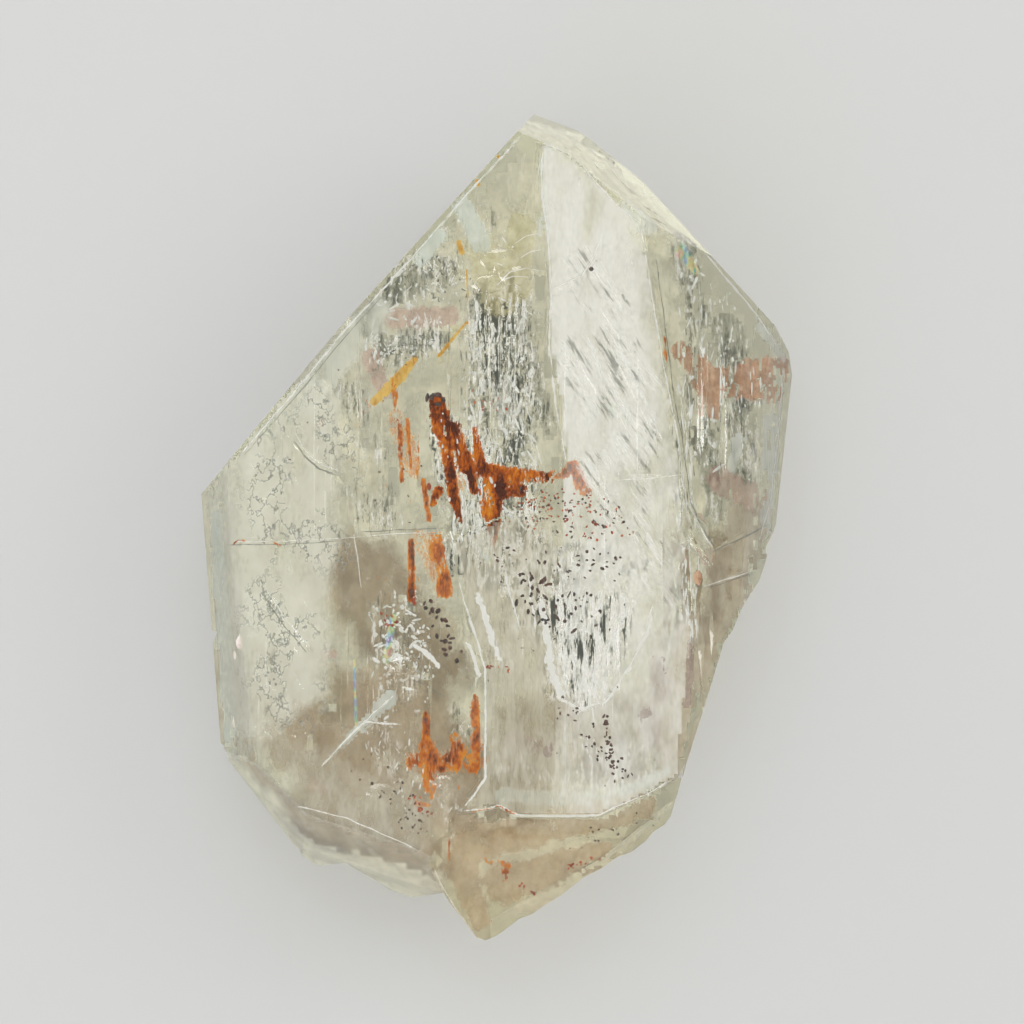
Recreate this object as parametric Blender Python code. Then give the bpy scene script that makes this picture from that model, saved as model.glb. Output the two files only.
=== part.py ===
"""A topaz crystal, a natural stone that grew as one piece, lying on its flat back.

X runs across the crystal, Y along its length towards the roof-shaped end, and Z up through its thickness.
The origin is the middle of the footprint, on the surface that the crystal lies on.
Sizes and places are in millimetres and angles in degrees. The meshes themselves are in metres.
"""

import math
import random

import bmesh
import bpy
from mathutils import Matrix, Vector

MM = 0.001
SEED = 7

# Driving dimensions
LENGTH = 42.0
WIDTH = 30.14
GIRDLE_HEIGHT = 7.6
LEFT_TILT = -16.0
SLAB_TILT = -8.0
SLAB_LIFT = 0.43
LOWER_SLAB_LIFT = 0.55
LEDGE_DROP = 0.14
CENTRE = Vector((0.0, 0.0, 7.0))

# How far blocks and cutters reach, from low to high: at the front, at the back, at the break, and right through
FRONT_SPAN = (4.0, 25.0)
BACK_SPAN = (-5.0, 10.0)
BREAK_SPAN = (2.0, 20.0)
THROUGH_SPAN = (-2.0, 25.0)

# Places seen from the front, x and y
APEX = (1.86, LENGTH / 2)
TIP = (-0.59, -LENGTH / 2)
LEFT_SHOULDER = (-WIDTH / 2, 1.43)
LEFT_HIP = (-14.05, -11.68)
RIGHT_SHOULDER = (WIDTH / 2, 7.7)
LEFT_STRIP_EDGE = (-13.35, 10.1)
SLAB_LEFT_X = 2.6


def face_plane(face):
    """A face's outward normal and one of its corners."""
    a, b, c = (Vector(corner) for corner in face)
    normal = (b - a).cross(c - a).normalized()
    if normal.dot(a - CENTRE) < 0:
        normal.negate()
    return normal, a


def height_on(face, x, y):
    """The height of a face's plane over the point (x, y)."""
    normal, corner = face_plane(face)
    return corner.z - (normal.x * (x - corner.x) + normal.y * (y - corner.y)) / normal.z


def prism_face(x, z, tilt):
    """Three corners of a face along the crystal's length, through (x, z) and falling to the right by tilt."""
    run = 10.0
    return ((x, -run, z), (x, run, z), (x + run, 0.0, z - run * math.tan(math.radians(tilt))))


def raised(face, lift):
    """The same face moved outwards."""
    normal, _corner = face_plane(face)
    return tuple(Vector(corner) + normal * lift for corner in face)


def on_face(face, x, y, lift=0.0):
    return (x, y, height_on(face, x, y) + lift)


# The front: a broad left prism face, and the top of the raised slab, where the crystal is thickest
LEFT_PRISM = prism_face(*LEFT_STRIP_EDGE, LEFT_TILT)
SLAB_TOP = prism_face(SLAB_LEFT_X, height_on(LEFT_PRISM, SLAB_LEFT_X, 0.0) + SLAB_LIFT, SLAB_TILT)
LOWER_SLAB_TOP = raised(LEFT_PRISM, LOWER_SLAB_LIFT)

# The right side: two prism faces below the slab's edge, and a steeper strip along the outline
RIGHT_PRISM_HIGH = (on_face(SLAB_TOP, 7.5, 14.5), on_face(SLAB_TOP, 9.1, 4.5), (12.9, 4.0, 12.35))
RIGHT_PRISM_LOW = (on_face(SLAB_TOP, 9.1, 4.5), on_face(SLAB_TOP, 9.95, -5.0), (12.9, 0.0, 12.75))
RIGHT_STRIP = ((12.9, 10.0, 12.2), (12.9, -3.0, 12.6), (*RIGHT_SHOULDER, 8.4))

# The left side: a smooth strip in front of the outline and a prism face behind it
LEFT_EDGE = ((*LEFT_HIP, GIRDLE_HEIGHT), (*LEFT_SHOULDER, GIRDLE_HEIGHT))
LEFT_STRIP = (*LEFT_EDGE, (LEFT_STRIP_EDGE[0], 0.0, LEFT_STRIP_EDGE[1]))
LEFT_BACK = (*LEFT_EDGE, (-8.6, 0.0, 0.0))

# The back: two prism faces on the right, the sloping back of the roof, and the flat that it rests on
RIGHT_BACK_HIGH = ((*RIGHT_SHOULDER, 8.4), (14.05, -0.31, 10.2), (7.9, 4.0, 0.0))
RIGHT_BACK_LOW = ((14.05, -0.31, 10.2), (10.2, -9.9, 11.0), (8.0, -7.0, 0.0))
BACK_ROOF = ((-6.0, 11.5, 0.0), (4.0, 13.5, 0.0), (1.0, 18.8, 5.0))
REST_FACE = ((0.0, 0.0, 0.0), (1.0, 0.0, 0.0), (0.0, 1.0, 0.0))

# The roof-shaped end, almost edge-on from the front
ROOF_LEFT_LOW = ((-14.97, 1.95, 2.0), (-8.0, 10.3, 2.0), (-11.3, 6.0, 12.0))
ROOF_LEFT_HIGH = ((-8.0, 10.3, 2.0), (1.72, APEX[1], 2.0), (-2.95, 15.45, 14.0))
ROOF_RIGHT_HIGH = ((4.26, 20.09, 9.0), (8.08, 17.03, 9.0), (5.15, 17.14, 16.0))
ROOF_RIGHT_BACK = ((4.26, 20.09, 9.0), (8.08, 17.03, 9.0), (6.0, 18.45, 0.0))
ROOF_RIGHT = ((7.6, 17.45, 7.0), (13.03, 11.53, 7.0), (10.1, 14.3, 16.0))
ROOF_RIGHT_LOW = ((13.03, 11.53, 8.0), (14.82, 9.03, 9.0), (13.5, 9.9, 2.0))
RIGHT_CORNER = ((14.82, 9.0, 8.4), (15.08, 7.6, 8.4), (13.6, 8.0, 0.0))
APEX_FRONT = ((*APEX, 8.5), (4.5, 20.0, 8.5), (0.6, 19.9, 14.8))
APEX_BACK = ((*APEX, 8.5), (4.5, 20.0, 8.5), (2.5, 16.4, 0.0))

# The broken lower end: the slope below the slab that runs down to the tip, the lobe on its left, the underside
LOWER_FACE = ((-3.4, -16.2, 12.9), (3.0, -14.4, 13.72), (-0.6, -21.0, 10.7))
LOBE_FACE = ((-12.57, -13.7, 10.3), (-3.39, -16.5, 12.96), (-5.02, -19.1, 5.6))
LOBE_FOOT = ((-9.61, -17.65, 5.0), (-5.02, -19.1, 5.0), (-5.0, -19.0, 0.0))
BREAK_FOOT = ((-5.02, -19.15, 5.0), (9.0, -14.2, 5.0), (2.0, -16.2, 0.0))
FOOT_LEFT = ((*LEFT_HIP, 7.0), (-9.61, -17.65, 5.0), (-10.2, -13.0, 13.0))
FOOT_LEFT_BACK = ((*LEFT_HIP, 7.4), (-9.61, -17.65, 5.6), (-7.5, -11.5, 0.0))
FOOT_BACK = ((-9.61, -17.65, 5.6), (*TIP, 8.0), (1.0, -13.0, 0.0))

CORE_FACES = (LEFT_PRISM, LOBE_FACE, LOBE_FOOT, BREAK_FOOT)
BOUNDING_FACES = (
    SLAB_TOP, RIGHT_PRISM_HIGH, RIGHT_PRISM_LOW, RIGHT_STRIP, LEFT_STRIP, LEFT_BACK, RIGHT_BACK_HIGH,
    RIGHT_BACK_LOW, BACK_ROOF, ROOF_LEFT_LOW, ROOF_LEFT_HIGH, ROOF_RIGHT_HIGH, ROOF_RIGHT_BACK, ROOF_RIGHT,
    ROOF_RIGHT_LOW, RIGHT_CORNER, APEX_FRONT, APEX_BACK, FOOT_LEFT, FOOT_LEFT_BACK, FOOT_BACK, REST_FACE,
)

# The ragged lower end as seen from the front, from its right shoulder round the tip
BROKEN_END = (
    (9.6, -11.0), (9.15, -13.2), (8.75, -14.89), (7.9, -15.45), (7.57, -15.9), (6.81, -16.5), (6.1, -16.75),
    (5.28, -17.35), (4.4, -17.8), (3.24, -18.75), (2.5, -19.2), (1.71, -19.75), (1.2, -19.9), (0.3, -20.6),
    (-0.08, -20.86), TIP, (-1.0, -20.85), (-1.35, -20.4), (-2.4, -19.0), (-3.35, -17.3), (-3.35, -16.3),
    (2.0, -12.3),
)

# The slabs' walls as seen from the front. On the right they run past the crystal's own faces.
SLAB_OUTLINE = (
    (16.0, -9.0), (9.05, -12.7), (6.2, -14.13), (5.07, -14.66), (2.6, -14.66), (3.0, -2.0), (3.3, 3.4), (3.14, 6.4),
    (2.5, 9.0), (2.65, 11.5), (2.3, 15.1), (2.05, 18.2), (2.15, 18.9), (2.4, 19.28), (2.7, 19.42), (3.1, 19.3),
    (3.5, 19.05), (6.0, 18.0), (16.0, 10.0),
)
LOWER_SLAB_OUTLINE = (
    (6.0, -10.0), (5.6, -14.4), (5.07, -14.66), (0.99, -14.66), (0.13, -14.13), (-0.43, -14.33), (-2.01, -14.48),
    (-0.8, -12.7), (-0.69, -7.2), (-1.5, -4.85), (-2.3, -0.75), (2.0, 1.3), (3.6, 3.6), (6.0, 3.6),
)

# Pieces broken out of the outline, right through the crystal
OUTLINE_BREAKS = {
    "right_break": (
        (14.7, 1.9), (14.05, -0.31), (13.6, -1.9), (13.29, -2.75), (12.32, -4.18), (11.9, -5.2), (11.4, -5.9),
        (10.63, -8.4), (9.95, -10.5), (9.51, -11.93), (8.75, -14.8), (12.0, -18.0), (20.0, -10.0), (20.0, 1.9),
    ),
    "lobe_break": (
        (-9.9, -17.2), (-9.3, -17.55), (-8.49, -17.34), (-7.73, -17.24), (-6.71, -17.85), (-5.94, -18.31),
        (-5.02, -18.98), (-4.0, -19.12), (-4.0, -22.0), (-12.0, -22.0),
    ),
}

# Shallow ledges: the outline of each, and the face that the stone is cut down to inside it. The first is where the
# basal cleavage crosses the left prism face, and it runs on under the slab.
CLEAVAGE_LEDGE = (
    ((-18.0, -0.78), (-11.0, -0.72), (-6.0, -0.5), (0.5, -0.3), (0.5, -9.0), (-18.0, -9.0)),
    (on_face(LEFT_PRISM, -13.0, -0.75, -0.12), on_face(LEFT_PRISM, -3.0, -0.4, -0.18),
     on_face(LEFT_PRISM, -8.0, -8.6, 0.02)),
)
FRONT_LEDGES = {
    "slab_head_ledge": (
        ((-1.0, 21.0), (2.2, 11.4), (3.4, 11.75), (4.26, 12.3), (5.0, 13.2), (5.5, 14.0), (7.4, 14.9), (9.0, 21.0)),
        raised(SLAB_TOP, -LEDGE_DROP),
    ),
    "rim_ledge": (
        ((-0.3, -19.9), (1.5, -18.9), (3.4, -17.8), (4.9, -17.0), (6.0, -16.2), (8.6, -14.0), (12.0, -12.0),
         (12.0, -22.0), (-0.3, -22.0)),
        (on_face(LOWER_FACE, 1.5, -18.9, -0.12), on_face(LOWER_FACE, 8.6, -14.0, -0.12),
         on_face(LOWER_FACE, 6.1, -18.2, -1.9)),
    ),
}

# Steps that the basal cleavage left on the underside: where each starts, and its roof's height there and beyond
CLEAVAGE_STEPS = ((-10.2, 0.9, 1.6), (-14.6, 3.6, 4.4))

# Grooves on a face, each with its start and end x and y, width and depth
SCARS = (
    (LEFT_PRISM, (
        (-7.15, 1.9, -7.05, -1.2, 0.30, 0.12), (-7.05, -0.9, -6.6, -3.6, 0.30, 0.14),
        (-10.6, 4.6, -9.2, 3.4, 0.55, 0.20), (-9.6, 3.6, -8.2, 2.85, 0.40, 0.16),
        (-8.6, 3.0, -7.4, 1.7, 0.25, 0.10), (-11.9, -3.1, -10.4, -4.7, 0.60, 0.22),
        (-10.7, -4.4, -9.4, -6.4, 0.35, 0.14), (-9.0, -12.3, -7.5, -10.9, 0.45, 0.18),
        (-7.6, -11.0, -5.1, -8.5, 0.38, 0.15), (-6.8, -9.95, -4.7, -10.0, 0.30, 0.12),
        (-13.4, -0.75, -11.9, -0.55, 0.35, 0.20), (-12.0, -0.6, -10.6, -0.85, 0.30, 0.20),
    )),
    (SLAB_TOP, (
        (4.9, 11.4, 7.6, 7.4, 0.35, 0.12), (5.6, 9.3, 7.9, 4.6, 0.30, 0.12), (3.9, 8.6, 6.2, 4.9, 0.30, 0.10),
        (3.1, 15.8, 3.3, 17.9, 0.35, 0.20), (6.1, 2.7, 9.0, 2.45, 0.30, 0.12), (3.0, -4.2, 3.6, -8.6, 0.35, 0.10),
        (5.4, -8.9, 7.8, -5.2, 0.30, 0.10),
    )),
    (RIGHT_PRISM_LOW, (
        (10.6, -1.45, 13.2, 0.05, 0.35, 0.18), (10.4, -3.1, 12.6, -2.2, 0.30, 0.14),
        (10.2, -4.0, 10.3, -8.0, 0.50, 0.22), (10.8, -3.8, 10.8, -6.6, 0.35, 0.16),
    )),
    (ROOF_RIGHT_HIGH, ((7.3, 16.2, 8.3, 15.6, 0.30, 0.20), (7.6, 15.6, 8.7, 15.1, 0.30, 0.20))),
)

# Faces with striations along the crystal: from x, to x, from y, to y, how many
STRIATED = (
    (LEFT_PRISM, -12.6, -2.7, -11.0, 11.0, 24), (LEFT_PRISM, -2.6, 1.8, 4.2, 12.0, 9),
    (LOWER_SLAB_TOP, -0.4, 2.0, -12.0, -2.5, 6), (SLAB_TOP, 3.2, 8.6, -12.0, 9.0, 13),
    (RIGHT_PRISM_HIGH, 9.3, 12.6, -1.0, 10.0, 11), (LEFT_BACK, -14.0, -9.2, -9.0, 2.0, 8),
    (RIGHT_BACK_HIGH, 9.0, 13.6, 0.0, 6.0, 6),
)

# Chips bitten out of edges: centre, half sizes, and turn about the upright
CHIP_SCALE = 1.25
CHIPS = (
    ((-14.75, -5.6, 7.8), (0.45, 0.5, 0.9), 20), ((-14.2, -11.6, 7.6), (0.5, 0.6, 1.0), 50),
    ((-8.1, 10.1, 11.2), (0.35, 0.9, 0.7), -42), ((-5.1, 13.4, 12.2), (0.3, 0.7, 0.6), -40),
    ((-13.35, 3.5, 10.5), (0.7, 0.8, 0.5), 30), ((10.15, -0.35, 15.6), (0.9, 1.7, 0.8), 24),
    ((13.9, -1.0, 10.6), (0.5, 0.7, 1.0), 10), ((9.3, -12.3, 14.9), (0.6, 0.8, 0.7), 60),
    ((6.1, -16.9, 12.2), (0.5, 0.4, 0.9), 10), ((2.3, -19.4, 11.4), (0.45, 0.4, 0.8), 40),
    ((-3.1, -16.9, 12.5), (0.35, 0.6, 0.6), 0), ((-10.4, -17.1, 6.0), (0.7, 0.6, 1.1), -30),
    ((-6.3, 11.2, 0.4), (0.9, 1.2, 0.9), 20), ((3.9, 13.6, 0.6), (1.2, 0.8, 1.0), 10),
    ((8.0, 1.6, 0.4), (0.7, 1.8, 0.7), -12), ((-8.4, -6.1, 0.5), (0.8, 1.5, 0.8), 10),
)

# Shallow conchoidal scoops in the left prism face: x, y, half width, depth
SCOOPS = (
    (0.2, 13.4, 1.15, 0.14), (1.0, 12.6, 1.0, 0.13), (-0.4, 12.2, 0.9, 0.1), (-4.6, -7.0, 0.9, 0.12),
    (-3.7, -5.6, 0.8, 0.12), (-5.9, -13.4, 0.8, 0.1), (-2.6, -12.9, 0.7, 0.1),
)

# Short worm-like etch marks near the left edge: how many, and the field that they lie in
ETCH_MARKS = 34
ETCH_FIELD = (-12.9, -8.7, -10.8, 4.2)


def metres(*point):
    """A point given in millimetres."""
    return Vector(point) * MM


def slice_off(bm, face, inner=False):
    """Cut along a face's plane, clear what is outside it (or inside), and close the cut."""
    normal, corner = face_plane(face)
    if inner:
        normal = -normal
    cut = bmesh.ops.bisect_plane(bm, geom=bm.verts[:] + bm.edges[:] + bm.faces[:], dist=1e-8,
                                 plane_co=corner * MM, plane_no=normal, clear_outer=True)
    rim = [item for item in cut["geom_cut"] if isinstance(item, bmesh.types.BMEdge)]
    bmesh.ops.edgeloop_fill(bm, edges=rim)
    bmesh.ops.recalc_face_normals(bm, faces=bm.faces)


def rough_block():
    """A cube larger than the crystal, to be cut down by its faces."""
    bm = bmesh.new()
    bmesh.ops.create_cube(bm, size=1.5 * LENGTH * MM)
    return bm


def outline_block(outline, low, high):
    """A closed block with upright walls over an outline."""
    curve = bpy.data.curves.new("outline", "CURVE")
    curve.dimensions = "2D"
    curve.fill_mode = "BOTH"
    curve.extrude = (high - low) / 2 * MM
    spline = curve.splines.new("POLY")
    spline.points.add(len(outline) - 1)
    for point, (x, y) in zip(spline.points, outline):
        point.co = (x * MM, y * MM, 0.0, 1.0)
    spline.use_cyclic_u = True
    guide = bpy.data.objects.new("outline", curve)
    bpy.context.scene.collection.objects.link(guide)
    evaluated = guide.evaluated_get(bpy.context.evaluated_depsgraph_get())
    mesh = bpy.data.meshes.new_from_object(evaluated)
    bm = bmesh.new()
    bm.from_mesh(mesh)
    bmesh.ops.remove_doubles(bm, verts=bm.verts, dist=1e-7)
    bmesh.ops.translate(bm, verts=bm.verts, vec=metres(0.0, 0.0, (low + high) / 2))
    bmesh.ops.recalc_face_normals(bm, faces=bm.faces)
    bpy.data.objects.remove(guide)
    bpy.data.curves.remove(curve)
    bpy.data.meshes.remove(mesh)
    return bm


def ledge_block(outline, floor):
    """What is to be cut away inside an outline, down to a sloping floor."""
    bm = outline_block(outline, *FRONT_SPAN)
    slice_off(bm, floor, inner=True)
    return bm


def add_object(name, bm, collection):
    mesh = bpy.data.meshes.new(name)
    bm.to_mesh(mesh)
    bm.free()
    obj = bpy.data.objects.new(name, mesh)
    collection.objects.link(obj)
    return obj


def add_cutter(name, bm, cutters):
    obj = add_object(name, bm, cutters)
    obj.hide_render = True
    obj.display_type = "WIRE"
    return obj


def combine(crystal, bm, operation, collection):
    """Join a block to the crystal, or take it away, for good."""
    block = add_object("block", bm, collection)
    modifier = crystal.modifiers.new("block", "BOOLEAN")
    modifier.operation = operation
    modifier.solver = "EXACT"
    modifier.object = block
    evaluated = crystal.evaluated_get(bpy.context.evaluated_depsgraph_get())
    combined = bpy.data.meshes.new_from_object(evaluated)
    crystal.modifiers.remove(modifier)
    crystal.data = combined
    bpy.data.objects.remove(block)


def cut_down(crystal, faces):
    """Slice the crystal by each of these faces in turn."""
    bm = bmesh.new()
    bm.from_mesh(crystal.data)
    for face in faces:
        slice_off(bm, face)
    bm.to_mesh(crystal.data)
    bm.free()


def grow_crystal(parts):
    """The crystal's core, its broken end and its two slabs, fused and cut down to the outer faces."""
    core = rough_block()
    for face in CORE_FACES:
        slice_off(core, face)
    crystal = add_object("topaz_crystal", core, parts)
    combine(crystal, outline_block(BROKEN_END, *BREAK_SPAN), "UNION", parts)
    cut_down(crystal, (LOWER_FACE,))
    combine(crystal, ledge_block(*CLEAVAGE_LEDGE), "DIFFERENCE", parts)
    lower_slab = outline_block(LOWER_SLAB_OUTLINE, *FRONT_SPAN)
    slice_off(lower_slab, LOWER_SLAB_TOP)
    combine(crystal, lower_slab, "UNION", parts)
    combine(crystal, outline_block(SLAB_OUTLINE, *FRONT_SPAN), "UNION", parts)
    cut_down(crystal, BOUNDING_FACES)
    return crystal


def add_ledges(cutters):
    for name, outline in OUTLINE_BREAKS.items():
        add_cutter(name, outline_block(outline, *THROUGH_SPAN), cutters)
    for name, (outline, floor) in FRONT_LEDGES.items():
        add_cutter(name, ledge_block(outline, floor), cutters)
    for number, (start, low, high) in enumerate(CLEAVAGE_STEPS):
        block = outline_block(((-20.0, start), (20.0, start + 0.4), (20.0, -30.0), (-20.0, -30.0)), *BACK_SPAN)
        slice_off(block, ((-8.0, start, low), (8.0, start, low + 0.3), (0.0, start - 4.4, high)), inner=True)
        add_cutter(f"cleavage_step_{number}", block, cutters)


def spindle(face, start, end, width, depth):
    """A slender eight-sided body half sunk in a face, to cut a groove that fades out at both ends."""
    normal, _corner = face_plane(face)
    start = Vector(on_face(face, *start))
    end = Vector(on_face(face, *end))
    along = (end - start).normalized()
    across = along.cross(normal)
    bm = bmesh.new()
    bmesh.ops.create_uvsphere(bm, u_segments=4, v_segments=2, radius=1.0)
    half_sizes = Vector((width / 2, (end - start).length / 2, depth)) * MM
    bmesh.ops.scale(bm, verts=bm.verts, vec=half_sizes)
    turn = Matrix((across, along, normal)).transposed().to_4x4()
    bmesh.ops.transform(bm, verts=bm.verts, matrix=Matrix.Translation((start + end) / 2 * MM) @ turn)
    bmesh.ops.recalc_face_normals(bm, faces=bm.faces)
    return bm


def add_scars(cutters):
    number = 0
    for face, scars in SCARS:
        for x0, y0, x1, y1, width, depth in scars:
            add_cutter(f"scar_{number:02d}", spindle(face, (x0, y0), (x1, y1), width, depth), cutters)
            number += 1


def add_striations(cutters, rng):
    number = 0
    for face, low_x, high_x, low_y, high_y, count in STRIATED:
        for place in range(count):
            x = low_x + (place + rng.uniform(0.2, 0.8)) * (high_x - low_x) / count
            middle = rng.uniform(low_y, high_y)
            reach = rng.uniform(1.5, 6.0)
            start = (x + rng.uniform(-0.05, 0.05), max(low_y, middle - reach))
            end = (x + rng.uniform(-0.05, 0.05), min(high_y, middle + reach))
            groove = spindle(face, start, end, rng.uniform(0.14, 0.3), rng.uniform(0.05, 0.11))
            add_cutter(f"striation_{number:02d}", groove, cutters)
            number += 1


def add_etch_marks(cutters, rng):
    low_x, high_x, low_y, high_y = ETCH_FIELD
    for number in range(ETCH_MARKS):
        x = rng.uniform(low_x, high_x)
        y = rng.uniform(low_y, high_y)
        angle = math.radians(rng.gauss(-52.0, 30.0))
        half = rng.uniform(0.2, 0.6)
        step = (half * math.cos(angle), half * math.sin(angle))
        mark = spindle(LEFT_PRISM, (x - step[0], y - step[1]), (x + step[0], y + step[1]),
                       rng.uniform(0.12, 0.26), rng.uniform(0.06, 0.12))
        add_cutter(f"etch_{number:02d}", mark, cutters)


def add_chips(cutters, rng):
    """Small angular bites, each cut by a leaning eight-sided body."""
    for number, (centre, half_sizes, turn) in enumerate(CHIPS):
        bm = bmesh.new()
        bmesh.ops.create_uvsphere(bm, u_segments=4, v_segments=2, radius=CHIP_SCALE * MM)
        bmesh.ops.scale(bm, verts=bm.verts, vec=half_sizes)
        lean = Matrix.Rotation(rng.uniform(-0.5, 0.5), 4, "X") @ Matrix.Rotation(rng.uniform(-0.5, 0.5), 4, "Y")
        place = Matrix.Translation(metres(*centre)) @ Matrix.Rotation(math.radians(turn), 4, "Z") @ lean
        bmesh.ops.transform(bm, verts=bm.verts, matrix=place)
        bmesh.ops.recalc_face_normals(bm, faces=bm.faces)
        add_cutter(f"chip_{number:02d}", bm, cutters)


def add_scoops(cutters):
    normal, _corner = face_plane(LEFT_PRISM)
    lean = Vector((0.0, 0.0, 1.0)).rotation_difference(normal).to_matrix().to_4x4()
    for number, (x, y, half_width, depth) in enumerate(SCOOPS):
        bm = bmesh.new()
        bmesh.ops.create_icosphere(bm, subdivisions=2, radius=MM)
        bmesh.ops.scale(bm, verts=bm.verts, vec=(half_width, 0.55 * half_width, depth))
        place = Matrix.Translation(metres(*on_face(LEFT_PRISM, x, y))) @ lean
        bmesh.ops.transform(bm, verts=bm.verts, matrix=place)
        add_cutter(f"scoop_{number:02d}", bm, cutters)


def cut_with(crystal, cutters):
    difference = crystal.modifiers.new("worn_and_etched", "BOOLEAN")
    difference.operation = "DIFFERENCE"
    difference.operand_type = "COLLECTION"
    difference.solver = "EXACT"
    difference.collection = cutters


def pale_topaz():
    """Clear, faintly grey-green stone."""
    material = bpy.data.materials.new("pale_topaz")
    material.use_nodes = True
    shader = material.node_tree.nodes["Principled BSDF"]
    shader.inputs["Base Color"].default_value = (0.74, 0.79, 0.70, 1.0)
    shader.inputs["Roughness"].default_value = 0.12
    shader.inputs["Metallic"].default_value = 0.0
    shader.inputs["IOR"].default_value = 1.62
    shader.inputs["Transmission Weight"].default_value = 0.8
    return material


def main():
    for obj in list(bpy.data.objects):
        bpy.data.objects.remove(obj)
    parts = bpy.data.collections.new("topaz")
    cutters = bpy.data.collections.new("topaz_cutters")
    bpy.context.scene.collection.children.link(parts)
    bpy.context.scene.collection.children.link(cutters)
    rng = random.Random(SEED)
    crystal = grow_crystal(parts)
    add_ledges(cutters)
    add_scars(cutters)
    add_striations(cutters, rng)
    add_etch_marks(cutters, rng)
    add_chips(cutters, rng)
    add_scoops(cutters)
    cut_with(crystal, cutters)
    crystal.data.materials.clear()
    crystal.data.materials.append(pale_topaz())


main()
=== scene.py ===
"""The looks of a topaz crystal: clear stone with striated and etched faces, and rust films, white veils,
cracks, flakes and dark specks inside it.

Sizes and places are in millimetres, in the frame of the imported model: X across the crystal, Y along it
towards the roof-shaped end, Z up. The meshes themselves are in metres. Inner pieces are placed where they
are seen from above, and then shifted by what the stone's faces bend the line of sight.
"""

import math
import random

import bmesh
import bpy
from mathutils import Matrix, Vector, noise
from mathutils.bvhtree import BVHTree


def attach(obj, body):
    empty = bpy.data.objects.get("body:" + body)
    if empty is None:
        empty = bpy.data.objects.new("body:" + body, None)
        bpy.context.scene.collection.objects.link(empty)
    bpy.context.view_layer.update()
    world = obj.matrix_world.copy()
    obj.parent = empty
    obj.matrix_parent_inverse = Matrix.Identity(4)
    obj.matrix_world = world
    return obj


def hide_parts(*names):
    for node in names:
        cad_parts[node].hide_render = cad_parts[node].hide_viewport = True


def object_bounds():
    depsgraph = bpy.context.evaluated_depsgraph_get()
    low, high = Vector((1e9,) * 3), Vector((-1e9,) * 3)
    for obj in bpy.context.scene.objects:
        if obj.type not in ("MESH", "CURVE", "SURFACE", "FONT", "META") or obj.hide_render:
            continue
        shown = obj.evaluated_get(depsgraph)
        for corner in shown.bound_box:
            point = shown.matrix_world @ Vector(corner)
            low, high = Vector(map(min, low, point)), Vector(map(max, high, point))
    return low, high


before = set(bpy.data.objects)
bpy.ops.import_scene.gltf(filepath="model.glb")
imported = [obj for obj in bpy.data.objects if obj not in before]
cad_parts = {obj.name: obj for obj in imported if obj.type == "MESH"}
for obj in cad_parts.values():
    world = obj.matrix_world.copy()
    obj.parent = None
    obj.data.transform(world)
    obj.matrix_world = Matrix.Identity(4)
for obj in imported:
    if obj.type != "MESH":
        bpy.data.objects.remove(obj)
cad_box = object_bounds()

MM = 0.001
SEED = 11

# The picture's frame: what it shows across, in millimetres, and the point in its middle
PICTURE_WIDTH = 52.2
PICTURE_MIDDLE = (0.79, 0.71, 8.5)
CAMERA_DISTANCE = 420.0
SENSOR = 36.0

# Stage
FLOOR_SIZE = 3000.0
FLOOR_DROP = 0.02
FLOOR_COLOUR = (0.54, 0.54, 0.53, 1.0)
SKY_LOW = (0.55, 0.56, 0.57)
SKY_HIGH = (1.0, 1.0, 1.0)
SKY_STRENGTH = 0.4
# Soft lamps: the name, the azimuth and elevation in degrees, the distance, the size and the power. Azimuth
# 0 is at the crystal's lower end, and 90 on its right.
LAMPS = (
    ("top", 180.0, 62.0, 650.0, 420.0, 2.7),
    ("key", -35.0, 50.0, 500.0, 300.0, 1.0),
    ("fill", 110.0, 35.0, 600.0, 400.0, 0.7),
)

# The stone's matter
REFRACTION = 1.62
STONE_COLOUR = (0.995, 0.985, 0.945, 1.0)
TAN_COLOUR = (0.92, 0.80, 0.62, 1.0)
ABSORPTION_COLOUR = (0.72, 0.73, 0.40, 1.0)
ABSORPTION_DENSITY = 21.0
SHADOW_TINT = (0.99, 0.98, 0.95, 1.0)

# The stone's surface. Angles are in degrees, and grains are per millimetre, across and along.
CLEAR_ROUGHNESS = 0.015
FROST_ROUGHNESS = 0.42
WORN_ROUGHNESS = 0.5
BUMP_STRENGTH = 0.35
BUMP_DEPTH = 0.012
EDGE_WIDTH = 0.07
EDGE_ANGLE = 22.0
FLAT_ANGLE = 0.2
CREASE_ANGLE = 9.0
FRONT_SLOPE = 0.8
STRIATION_CUTS = 240
CROSS_CUTS = 24
RELIEF = 0.014
LINE_GRAIN = (6.0, 0.12)
HAIR_GRAIN = (14.0, 0.2)
SWELL_GRAIN = (0.5, 0.35)
# The left face has little relief up to the first place across the stone, and all of it from the second
CALM_RIM = (-9.5, -6.5)
# The low end is frosted below these places along the stone, left and right of the lobe's rim
LOBE_RIM = -2.0
LOBE_END = -12.0
FOOT_END = -14.7

# Films inside the stone. A stroke is full out to one share of its radius, and has faded out at another.
STROKE_FULL = 0.45
STROKE_RIM = 1.25
# How far the line of sight leans for each millimetre of depth, across the stone: x, then lean
SIGHT_LEAN = ((-12.5, 0.109), (2.3, 0.109), (3.3, 0.054), (8.6, 0.054), (10.2, -0.22), (13.0, -0.28))
# A film's faces that rise more steeply than this cross a step in the front, and are cut out
STEEPEST = 0.45
# The least depth of a film, and the least stone beneath what is inside
LEAST_COVER = 0.08
LEAST_CLEAR = 0.3

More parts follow.
